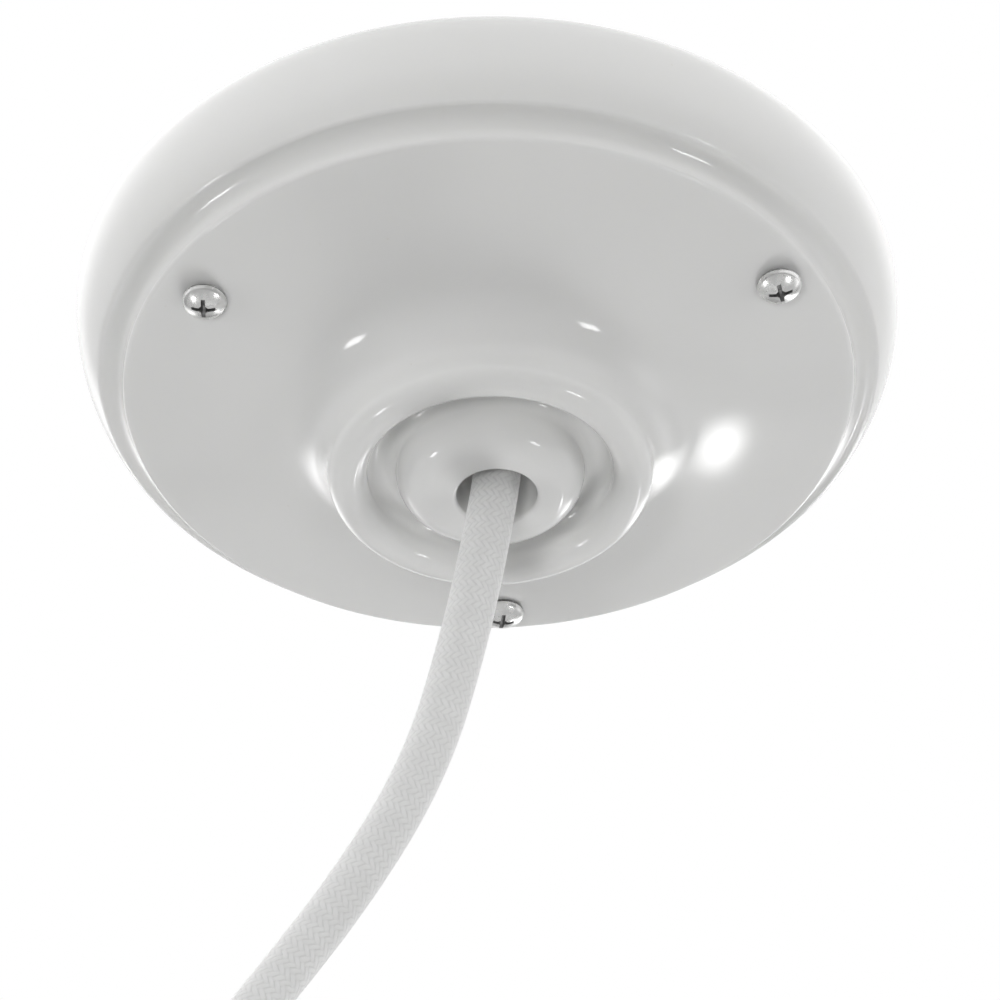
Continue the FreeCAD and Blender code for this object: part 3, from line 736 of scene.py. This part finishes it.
def swept_mesh(
    name: str, spots: Sequence[Tuple[Vector, float]], sides: int, radius: Callable[[float, float], float],
) -> bpy.types.Mesh:
    """Tube along a line.

    Args:
        name: name of the mesh.
        spots: place of each ring in metres and its distance along the line in millimetres.
        sides: flats round the tube.
        radius: radius in millimetres from the share of a turn and the distance along.

    Returns:
        The mesh, with a surface map of the share of a turn and the distance along in diameters.
    """
    count = len(spots)
    ahead = [(spots[min(i + 1, count - 1)][0] - spots[max(i - 1, 0)][0]).normalized() for i in range(count)]
    side = ahead[0].orthogonal().normalized()
    vertices = []
    for i, (spot, along) in enumerate(spots):
        side = (side - ahead[i] * side.dot(ahead[i])).normalized()
        up = ahead[i].cross(side)
        for j in range(sides):
            share = j / sides
            turn = math.tau * share
            reach = radius(share, along) * MM
            vertices.append(spot + (side * math.cos(turn) + up * math.sin(turn)) * reach)
    faces = []
    for i in range(count - 1):
        for j in range(sides):
            k = (j + 1) % sides
            faces.append((i * sides + j, i * sides + k, (i + 1) * sides + k, (i + 1) * sides + j))
    faces.append(tuple(reversed(range(sides))))
    faces.append(tuple(range((count - 1) * sides, count * sides)))
    mesh = bpy.data.meshes.new(name)
    mesh.from_pydata([tuple(v) for v in vertices], [], faces)
    size = 2 * radius(0.0, 0.0)
    layer = mesh.uv_layers.new(name="UVMap")
    values = []
    for face in range((count - 1) * sides):
        i, j = divmod(face, sides)
        low, high = spots[i][1] / size, spots[i + 1][1] / size
        values += [j / sides, low, (j + 1) / sides, low, (j + 1) / sides, high, j / sides, high]
    values += [0.0] * (2 * len(mesh.loops) - len(values))
    layer.data.foreach_set("uv", values)
    mesh.validate()
    return mesh


# Cover


@dataclass
class Cover:
    """Glazed cover, turned from the same section as the frame's, with its cord hole and screw holes."""

    outer_r: float = 55.0
    widest_depth: float = 3.5
    rim_round: float = 4.2
    shoulder_round: float = 19.0
    bead_round: float = 0.9
    ledge_depth: float = 14.05
    cove_round: float = 2.7
    face_r: float = 48.6
    face_edge_round: float = 0.65
    face_edge_wall: float = 0.1
    face_round: float = 115.0
    trumpet_round: float = 9.0
    lip_r: float = 21.4
    lip_round: float = 2.6
    lip_depth: float = 33.9
    groove_depth: float = 29.0
    dome_r: float = 12.4
    dome_round: float = 4.5
    dome_depth: float = 35.7
    wall: float = 4.4
    cavity_r: float = 49.8
    cavity_round: float = 5.0
    neck_floor_depth: float = 26.0
    neck_floor_round: float = 2.0
    shift: float = -0.8
    hole_r: float = 5.3
    hole_round: float = 0.6
    screw_circle: float = 43.1
    screw_hole_r: float = 1.9
    screw_lean: float = 5.8
    drill_span: Point2 = (-6.0, 9.0)
    drill_sides: int = 40
    segments: int = 256
    step: float = 0.8
    inside_step: float = 1.2

    def __post_init__(self) -> None:
        """Find the centres of the arcs that touch one another."""
        self.trumpet_centre = (self.lip_r + self.trumpet_round, self.lip_round - self.lip_depth)
        self.edge_centre = (
            self.face_r - self.face_edge_round, -(self.ledge_depth + self.cove_round + self.face_edge_wall))
        self.face_centre = meeting(
            self.edge_centre, self.face_round + self.face_edge_round,
            self.trumpet_centre, self.face_round - self.trumpet_round)

    def outside(self) -> List[Point2]:
        """Section of the outside from the foot at the ceiling to the mouth of the cord hole."""
        rim_centre = (self.outer_r - self.rim_round, -self.widest_depth)
        rim_angle = math.degrees(math.asin(self.widest_depth / self.rim_round))
        shoulder_centre = (self.outer_r - self.shoulder_round, -self.widest_depth)
        bead_level = self.bead_round - self.ledge_depth
        reach = self.shoulder_round - self.bead_round
        bead_centre = (
            shoulder_centre[0] + math.sqrt(reach ** 2 - (bead_level + self.widest_depth) ** 2), bead_level)
        bead_angle = angle_from(shoulder_centre, bead_centre)
        cove_centre = (self.face_r + self.cove_round, -(self.ledge_depth + self.cove_round))
        edge_angle = angle_from(self.edge_centre, self.face_centre)
        trumpet_angle = angle_from(self.face_centre, self.trumpet_centre)
        groove_round = (self.lip_r - 2 * self.lip_round - self.dome_r) / 2
        groove_centre = (self.dome_r + groove_round, -(self.groove_depth + groove_round))
        line = Outline(self.step)
        line.arc(rim_centre, self.rim_round, rim_angle, 0)
        line.arc(shoulder_centre, self.shoulder_round, 0, bead_angle)
        line.arc(bead_centre, self.bead_round, bead_angle, -90)
        line.arc(cove_centre, self.cove_round, 90, 180)
        line.arc(self.edge_centre, self.face_edge_round, 0, edge_angle)
        line.arc(self.face_centre, self.face_round, edge_angle + 180, trumpet_angle)
        line.arc(self.trumpet_centre, self.trumpet_round, trumpet_angle, 180)
        line.arc((self.lip_r - self.lip_round, self.trumpet_centre[1]), self.lip_round, 0, -180)
        line.arc(groove_centre, groove_round, 0, 180)
        line.arc((self.dome_r - self.dome_round, self.dome_round - self.dome_depth), self.dome_round, 0, -90)
        return line.points

    def hole(self) -> List[Point2]:
        """Section of the cord hole from its rounded mouth up to the floor of the neck."""
        line = Outline(self.step)
        centre = (self.hole_r + self.hole_round, self.hole_round - self.dome_depth)
        line.arc(centre, self.hole_round, 270, 180)
        line.to((self.hole_r, -(self.dome_depth + self.neck_floor_depth) / 2))
        line.to((self.hole_r, -self.neck_floor_depth))
        return line.points

    def inside(self) -> List[Point2]:
        """Section of the hollow side from the floor of the neck to the foot."""
        floor_level = self.neck_floor_round - self.neck_floor_depth
        trumpet_inner = self.trumpet_round + self.wall
        reach = trumpet_inner + self.neck_floor_round
        drop_to_floor = floor_level - self.trumpet_centre[1]
        floor_centre = (self.trumpet_centre[0] - math.sqrt(reach ** 2 - drop_to_floor ** 2), floor_level)
        face_inner = self.face_round + self.wall
        corner_x = self.cavity_r - self.cavity_round
        reach = face_inner + self.cavity_round
        corner_centre = (
            corner_x, self.face_centre[1] + math.sqrt(reach ** 2 - (corner_x - self.face_centre[0]) ** 2))
        floor_angle = angle_from(self.trumpet_centre, floor_centre)
        trumpet_angle = angle_from(self.face_centre, self.trumpet_centre)
        corner_angle = angle_from(self.face_centre, corner_centre)
        line = Outline(self.inside_step)
        line.arc(floor_centre, self.neck_floor_round, -90, floor_angle - 180)
        line.arc(self.trumpet_centre, trumpet_inner, floor_angle, trumpet_angle)
        line.arc(self.face_centre, face_inner, trumpet_angle, corner_angle)
        line.arc(corner_centre, self.cavity_round, corner_angle - 180, 0)
        line.to((self.cavity_r, 0.0))
        return line.points

    def face_level(self, radius: float) -> float:
        """Height of the sloping face at a radius of the moulded form."""
        return self.face_centre[1] + math.sqrt(self.face_round ** 2 - (radius - self.face_centre[0]) ** 2)

    def seat(self, angle: float, reach: float = 0.0) -> Tuple[Vector, Vector]:
        """Where a screw sits on the sloping face.

        Args:
            angle: angle of the screw round the rose, in degrees.
            reach: radius of the flat under its head, whose lower side bears on the face.

        Returns:
            The place of that flat in millimetres, and the way the screw points into the rose.
        """
        turn, lean = math.radians(angle), math.radians(self.screw_lean)
        spot = Vector((self.screw_circle * math.cos(turn), self.screw_circle * math.sin(turn), 0.0))
        away = Vector((spot.x - self.shift, spot.y, 0.0))
        radius = away.length
        level = self.face_level(radius)
        outward = away.normalized() * math.sin(lean)
        inward = Vector((-outward.x, -outward.y, math.cos(lean)))
        edge = self.face_level(radius - reach * math.cos(lean))
        stand_off = (level - reach * math.sin(lean) - edge) / math.cos(lean)
        return Vector((spot.x, spot.y, level)) - inward * stand_off, inward

    def build(self, finish: Material, angles: Iterable[float]) -> Piece:
        """Turn the cover and drill it for its screws."""
        rings = [(radius, height, self.shift) for radius, height in self.outside()]
        rings += [(radius, height, 0.0) for radius, height in self.hole()]
        rings += [(radius, height, self.shift) for radius, height in self.inside()]
        made = turned("rose_cover_glazed", rings, self.segments, closed=True)
        bore = [(self.screw_hole_r, height, 0.0) for height in self.drill_span]
        drills = [
            moved(turned("drill", bore, self.drill_sides), upright(*self.seat(angle))) for angle in angles]
        combined(made, joined("drills", drills), Joining.CUT)
        smooth(made.data)
        return dressed(made, finish, Slot.GLAZE, "rose_cover")


def meeting(first: Point2, first_r: float, second: Point2, second_r: float) -> Point2:
    """Where two circles cross, on the left of the way from the first centre to the second."""
    dx, dz = second[0] - first[0], second[1] - first[1]
    gap = math.hypot(dx, dz)
    along = (first_r ** 2 - second_r ** 2 + gap ** 2) / (2 * gap)
    across = math.sqrt(first_r ** 2 - along ** 2)
    return (first[0] + (along * dx - across * dz) / gap, first[1] + (along * dz + across * dx) / gap)


def angle_from(centre: Point2, point: Point2) -> float:
    """Angle in degrees of a point as seen from a centre."""
    return math.degrees(math.atan2(point[1] - centre[1], point[0] - centre[0]))


def upright(point: Vector, direction: Vector, twist: float = 0.0) -> Matrix:
    """Place of a piece made along +Z, moved to a point in millimetres and turned to a direction."""
    turn = direction.to_track_quat("Z", "Y").to_matrix().to_4x4()
    return Matrix.Translation(point * MM) @ turn @ Matrix.Rotation(math.radians(twist), 4, "Z")


# Screws


@dataclass
class CoverScrew:
    """Pan head screw with a cross recess, four small marks between its wings and a cut thread.

    It is made upright with the flat under its head at height 0 and its crown below, in millimetres.
    """

    name: str
    angle: float
    twist: float
    head_r: float = 2.95
    head_height: float = 2.1
    edge: float = 0.75
    rim: float = 0.35
    pole: Point2 = (0.05, 0.0005)
    crown_ends: Point2 = (1.0, 4.0)
    step: float = 0.12
    bend: float = 10.0
    sides: int = 64
    shank_r: float = 1.45
    chamfer: float = 0.12
    length: float = 10.0
    tip: float = 0.5
    tip_taper: float = 0.35
    pitch: float = 0.5
    thread: float = 0.22
    thread_start: float = 1.0
    thread_steps: int = 6
    recess_reach: float = 1.95
    recess_width: float = 0.62
    recess_depth: float = 1.2
    recess_core: Sequence[Point2] = ((0.75, 0.0), (0.62, 0.5), (0.2, 1.65))
    core_sides: int = 24
    proud: float = 0.3
    mark_reach: float = 0.42
    mark_width: float = 0.14
    mark_height: float = 0.36
    mark_proud: float = 0.2
    mark_place: Point3 = (1.32, 0.0, 0.02)
    mark_lean: float = -22.0
    # Reach and depth of the painted shade inside the recess, and its margin round the head's side
    shade_reach: float = 0.3
    shade_depth: float = 0.09
    shade_side: Point2 = (0.1, 0.02)
    softness: float = 0.05
    soft_angle: float = 32.0
    seat_gap: float = 0.06

    def crown_r(self) -> float:
        """Radius of the dome of the head."""
        rise = self.head_height - self.edge
        return (self.head_r ** 2 + rise ** 2) / (2 * rise)

    def blank(self) -> Piece:
        """Head and threaded shank before the recess is punched. The crown's arc stops short at both ends."""
        crown_r = self.crown_r()
        corner = math.degrees(math.asin(self.head_r / crown_r)) - 90.0
        line = Outline(self.step, self.bend)
        line.to((self.pole[0], self.pole[1] - self.head_height))
        line.arc(
            (0.0, crown_r - self.head_height), crown_r,
            self.crown_ends[0] - 90.0, corner - self.crown_ends[1])
        line.arc((self.head_r - self.rim, -self.rim), self.rim, 0.0, 90.0)
        line.to((self.shank_r + self.chamfer, 0.0), (self.shank_r, self.chamfer))
        rings = [(radius, height, 0.0) for radius, height in line.points]
        rise = self.pitch / self.thread_steps
        count = round((self.length - self.tip) / rise)
        rings += [(self.shank_r, self.chamfer + i * rise, 0.0) for i in range(1, count + 1)]
        rings.append((self.shank_r - self.tip_taper, self.length, 0.0))
        return turned("blank", rings, self.sides, wobble=self.thread_cut)

    def thread_cut(self, turn: float, radius: float, height: float) -> float:
        """Depth of the thread's groove at a point of the shank."""
        if height < self.thread_start or radius < self.shank_r:
            return 0.0
        phase = height / self.pitch - turn / math.tau
        return -self.thread * (1 - abs(2 * (phase - math.floor(phase)) - 1))

    def punch(self) -> Piece:
        """Cutter for the recess: two crossed wings and a core, all drawn in with depth."""
        low = -self.head_height - self.proud
        depth = self.recess_depth + self.proud
        wings = [taper("wing", self.recess_reach, self.recess_width / 2, low, depth) for _ in range(2)]
        moved(wings[1], Matrix.Rotation(math.radians(90), 4, "Z"))
        core = [(radius, low + rise, 0.0) for radius, rise in self.recess_core]
        combined(wings[0], wings[1], Joining.ADD)
        return combined(wings[0], turned("core", core, self.core_sides), Joining.ADD)

    def mark(self, made: Piece) -> None:
        """Press the four small marks into the head, half way between the wings."""
        place = Matrix.Translation(Vector(self.mark_place) * MM)
        lean = Matrix.Rotation(math.radians(self.mark_lean), 4, "Y")
        low = -self.head_height - self.mark_proud
        for angle in (45, 135, 225, 315):
            stamp = taper("mark", self.mark_reach, self.mark_width / 2, low, self.mark_height)
            moved(stamp, Matrix.Rotation(math.radians(angle), 4, "Z") @ place @ lean)
            combined(made, stamp, Joining.CUT)

    def painted_shade_faces(self, mesh: bpy.types.Mesh) -> List[int]:
        """Faces that get painted shade, a darker and rougher plate: inside the recess and marks, and round
        the head's side.
        """
        crown_r = self.crown_r()
        found = []
        for face in mesh.polygons:
            x, y, z = face.center / MM
            radius = math.hypot(x, y)
            crown = crown_r - self.head_height - math.sqrt(max(crown_r ** 2 - radius ** 2, 0.0))
            pressed = radius < self.recess_reach + self.shade_reach and z > crown + self.shade_depth
            aside = radius > self.head_r - self.rim - self.shade_side[0]
            if pressed or (aside and z > -self.rim - self.shade_side[1]):
                found.append(face.index)
        return found

    def build(self, finish: Material, shaded: Material, cover: Cover) -> Piece:
        """Make the screw and set it on the cover, with the lower side of its head near the face.

        Args:
            finish: plate on the open faces.
            shaded: darker, rougher plate that paints shade on the faces in the recess and round the head's
                side.
            cover: the cover that the screw holds.

        Returns:
            The screw, which takes the place of its CAD node.
        """
        made = combined(self.blank(), self.punch(), Joining.CUT)
        self.mark(made)
        bevelled(made, self.softness, self.soft_angle)
        settle(made)
        smooth(made.data)
        shade_painted_faces = self.painted_shade_faces(made.data)
        point, inward = cover.seat(self.angle, self.head_r - self.rim)
        moved(made, upright(point - inward * self.seat_gap, inward, self.twist))
        made.name = made.data.name = "cover_screw_" + self.name + "_head"
        dressed(made, finish, Slot.STEEL, "cover_screw_" + self.name)
        # Painted shade: the darker plate goes on the faces in the recess and round the head's side
        made.data.materials.append(shaded)
        for index in shade_painted_faces:
            made.data.polygons[index].material_index = 1
        return made


def taper(name: str, reach: float, half: float, low: float, depth: float) -> Piece:
    """Wedge along X whose ends and sides draw in as it goes up.

    Args:
        name: name of the object.
        reach: half the wedge's length at its low end, in millimetres like the rest.
        half: half its width there.
        low: height of its low end.
        depth: how far it goes up from there.

    Returns:
        The object, with its vertices in metres.
    """
    levels = ((low, reach, half), (low + depth, reach * DRAWN_IN[0], half * DRAWN_IN[1]))
    return lofted(name, [[(a * x, b * y, level) for a, b in CORNERS] for level, x, y in levels])


# Pieces kept from the frame


@dataclass
class FramePieces:
    """CAD nodes whose shape is right: each keeps its mesh and gets a finish and softer edges."""

    finish: Material
    names: Sequence[str]
    edge: float
    edge_angle: float = 40.0
    weld: float = 1e-6

    def dress(self) -> None:
        """Give each node the finish, and soften its edges a little."""
        for name in self.names:
            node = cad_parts[name]
            for slot in node.material_slots:
                slot.material = self.finish
            node.modifiers.new("weld", "WELD").merge_threshold = self.weld
            if self.edge:
                bevelled(node, self.edge, self.edge_angle)
            LOG.info("%s: %s", name, self.finish.name)


# Studio


@dataclass(frozen=True)
class Lamp:
    """Soft box seen from the rose at an azimuth from +Y towards +X and an elevation, in degrees."""

    name: str
    azimuth: float
    elevation: float
    width: float
    height: float
    glow: float
    edge: float = 0.25
    mirrored: bool = True
    roll: float = 0.0
    distance: float = 1.5

    def build(self, target: Vector) -> None:
        """Hang the lamp and turn it to the rose. Width and height are in degrees as seen from there."""
        turn, tilt = math.radians(self.azimuth), math.radians(self.elevation)
        away = Vector((math.sin(turn) * math.cos(tilt), math.cos(turn) * math.cos(tilt), math.sin(tilt)))
        light = bpy.data.lights.new(self.name, "AREA")
        light.shape = "RECTANGLE"
        light.size = 2 * self.distance * math.tan(math.radians(self.width / 2))
        light.size_y = 2 * self.distance * math.tan(math.radians(self.height / 2))
        light.energy = self.glow * math.pi * light.size * light.size_y
        self.soften(light)
        made = object_of(self.name, light)
        made.visible_glossy = self.mirrored
        made.location = target + away * self.distance
        spin = Matrix.Rotation(math.radians(self.roll), 3, "Z")
        made.rotation_euler = (away.to_track_quat("Z", "Y").to_matrix() @ spin).to_euler()

    def soften(self, light: bpy.types.AreaLight) -> None:
        """Let the light fade towards the edges of the box, as a cloth front does."""
        light.use_nodes = True
        cloth = Nodes(light.node_tree)
        fades = []
        for across in cloth.parts_of(cloth.add("NewGeometry").outputs["Parametric"])[:2]:
            apart = cloth.math("ABSOLUTE", cloth.math("SUBTRACT", across, 0.5))
            fades.append(cloth.span(apart, 0.5 - self.edge, 0.5, 1.0, 0.0))
        shine = cloth.add("Emission")
        cloth.feed(shine.inputs["Strength"], cloth.math("MULTIPLY", *fades))
        cloth.show(shine, "OutputLight")


@dataclass
class Studio:
    """Camera, lamps, pale floor and white surroundings."""

    target: Point3 = (-0.8, 0.0, -18.0)
    distance: float = 900.0
    elevation: float = 41.98
    roll: float = -1.09
    focal_pixels: float = 6778.0
    frame_pixels: float = 1000.0
    target_pixel: Point2 = (488.9, 397.3)
    sensor: float = 36.0
    floor_depth: float = 1300.0
    floor_size: float = 9000.0
    floor_scale: float = 3.0
    floor_dark: Colour = (0.14, 0.14, 0.14)
    floor_light: Colour = (0.16, 0.16, 0.16)
    floor_glow: Colour = (0.87, 0.87, 0.87)
    floor_mirrored: float = 0.36
    sky: float = 0.88
    ground: float = 0.24
    horizon: Point2 = (-0.15, 0.20)
    sight: float = 50.0
    lamps: Sequence[Lamp] = (
        Lamp("left_box", -90.0, -44.0, 10.0, 8.0, 12.0, 0.15),
        Lamp("right_box", 113.0, -44.0, 10.0, 8.0, 12.0, 0.15),
        Lamp("back_right_low", 25.6, -25.5, 5.5, 17.0, 12.0, 0.5, roll=-36.0),
        Lamp("back_right_high", 26.5, 0.0, 18.0, 52.0, 4.2, 0.45),
        Lamp("back_left", -29.0, 8.0, 28.0, 62.0, 2.1, 0.5),
        Lamp("right_cloth", 78.0, -12.0, 54.0, 36.0, 1.2, 0.5),
        Lamp("left_wing", -64.0, 50.0, 80.0, 60.0, 1.4, 0.5),
        Lamp("right_wing", 64.0, 50.0, 80.0, 60.0, 1.1, 0.5),
        Lamp("left_fill", -66.0, 32.0, 60.0, 50.0, 1.2, 0.4, False),
        Lamp("right_fill", 66.0, 32.0, 60.0, 50.0, 0.8, 0.4, False),
        Lamp("left_side_fill", -98.0, -4.0, 50.0, 40.0, 1.9, 0.4, False),
        Lamp("right_side_fill", 95.0, -4.0, 50.0, 40.0, 1.4, 0.4, False),
        Lamp("near_fill", -164.0, -34.0, 18.0, 16.0, 20.0, 0.3, False),
        Lamp("near_right_fill", 145.0, 25.0, 50.0, 40.0, 0.9, 0.4, False),
        Lamp("back_fill", 15.0, -42.0, 30.0, 24.0, 8.6, 0.3, False),
    )

    def camera(self) -> None:
        """Set the camera where the photographer's stood, below the rose on its near side."""
        tilt, lean = math.radians(self.elevation), math.radians(self.roll)
        right = Vector((1.0, 0.0, 0.0))
        up = Vector((0.0, -math.sin(tilt), math.cos(tilt)))
        ahead = Vector((0.0, math.cos(tilt), math.sin(tilt)))
        spot = Vector(self.target) - ahead * self.distance
        leaning = right * math.cos(lean) + up * math.sin(lean)
        up = up * math.cos(lean) - right * math.sin(lean)
        right = leaning
        centre = self.frame_pixels / 2
        aside, below = ((centre - pixel) / self.focal_pixels for pixel in self.target_pixel)
        ahead = (ahead + right * aside - up * below).normalized()
        right = (right - ahead * right.dot(ahead)).normalized()
        up = right.cross(ahead)
        data = bpy.data.cameras.new("camera")
        data.sensor_width = self.sensor
        data.lens = self.sensor * self.focal_pixels / self.frame_pixels
        data.clip_end = self.sight
        made = object_of("camera", data)
        made.matrix_world = Matrix.Translation(spot * MM) @ Matrix((right, up, -ahead)).transposed().to_4x4()
        bpy.context.scene.camera = made

    def surroundings(self) -> None:
        """White for the camera; for the rose, a pale sky that darkens towards the ground."""
        world = bpy.data.worlds.new("surroundings")
        world.use_nodes = True
        air = Nodes(world.node_tree)
        rise = air.parts_of(air.add("TexCoord").outputs["Generated"])[2]
        pale = air.span(rise, *self.horizon, self.ground, self.sky)
        shine = air.add("Background")
        air.feed(shine.inputs["Color"], (1.0, 1.0, 1.0))
        seen = air.add("LightPath").outputs["Is Camera Ray"]
        air.feed(shine.inputs["Strength"], air.math("MAXIMUM", pale, seen))
        air.show(shine, "OutputWorld")
        bpy.context.scene.world = world

    def floor(self) -> None:
        """Pale studio floor, far below the rose."""
        graph = Graph("studio_floor")
        rays = graph.add("LightPath").outputs
        glow = graph.math("MULTIPLY_ADD", rays["Is Glossy Ray"], self.floor_mirrored, rays["Is Camera Ray"])
        graph.set(
            Base_Color=graph.mix(graph.noise(self.floor_scale), self.floor_dark, self.floor_light),
            Roughness=0.9, Emission_Color=self.floor_glow, Emission_Strength=glow,
        )
        half, level = self.floor_size / 2 * MM, -self.floor_depth * MM
        mesh = bpy.data.meshes.new("studio_floor")
        mesh.from_pydata([(x * half, y * half, level) for x, y in CORNERS], [], [(0, 1, 2, 3)])
        mesh.materials.append(graph.material)
        object_of("studio_floor", mesh)

    def build(self) -> None:
        """Set up everything but the camera."""
        bpy.context.scene.view_settings.view_transform = "Standard"
        self.surroundings()
        self.floor()
        for lamp in self.lamps:
            lamp.build(Vector(self.target) * MM)


# Whole rose


def dress_frame(plated: Material) -> None:
    """Dress the pieces that keep their CAD shape.

    Args:
        plated: finish of the cover screws, which the small screws share.
    """
    terminals = ["terminal_screw_%s_%s" % (wire, end) for wire in WIRES for end in ("outer", "inner")]
    terminals += ["terminal_tube_" + wire for wire in WIRES] + ["earth_screw"]
    sheets = ["mounting_bracket", "earth_washer"]
    sheets += ["grip_" + part for part in ("bracket", "saddle", "rivet_left", "rivet_right")]
    screws = [part + "_screw_" + side for part in ("grip", "block") for side in ("left", "right")]
    tin = TurnedMetal("turned_tin", (0.74, 0.74, 0.72), (0.58, 0.58, 0.56), 0.30, 0.44)
    live = moulded("live", (0.20, 0.085, 0.04), 0.36)
    neutral = moulded("neutral", (0.03, 0.13, 0.42), 0.36)
    earth = moulded("earth", (0.10, 0.36, 0.07), 0.36, (0.75, 0.62, 0.05))
    for finish, names, edge in (
        (PlatedSheet().material(), sheets, 0.08),
        (plated, screws, 0.05),
        (TurnedMetal().material(), terminals, 0.05),
        (tin.material(), ["earth_lug"] + ["ferrule_" + wire for wire in WIRES], 0.05),
        (moulded("block", (0.79, 0.78, 0.74)).material(), ["terminal_block"], 0.15),
        (live.material(), ["core_live", "end_core_live"], 0.0),
        (neutral.material(), ["core_neutral", "end_core_neutral"], 0.0),
        (earth.material(), ["core_earth", "end_core_earth", "earth_link"], 0.0),
        (moulded("tie", (0.72, 0.72, 0.71), 0.5).material(), ["coil_tie"], 0.15),
        (moulded("sleeve", (0.78, 0.78, 0.77), 0.38).material(), ["end_sleeve"], 0.15),
    ):
        FramePieces(finish, names, edge).dress()


def main() -> None:
    """Build every piece in order."""
    logging.basicConfig(level=logging.INFO, format="%(message)s")
    studio = Studio()
    studio.camera()
    flex = Flex()
    cord = flex.build()
    studio.build()

    cover = Cover()
    screws = [
        CoverScrew("left", 209.4, 60.0), CoverScrew("right", 329.8, 20.0), CoverScrew("back", 89.4, 10.0)]
    cover.build(Glaze().material(), [screw.angle for screw in screws])
    plated = PlatedScrew().material()
    # Darker, rougher plate that paints shade into the screws' recesses and round their heads' sides
    shaded = PlatedScrew("zinc_painted_shade", (0.25, 0.25, 0.25), (0.52, 0.52, 0.52), 0.5, 0.30).material()
    for screw in screws:
        screw.build(plated, shaded, cover)
    dress_frame(plated)

    on_cord = ["coil_tie", "end_sleeve"]
    on_cord += [end + wire for end in ("end_core_", "ferrule_") for wire in WIRES]


if __name__ == "__main__":
    main()
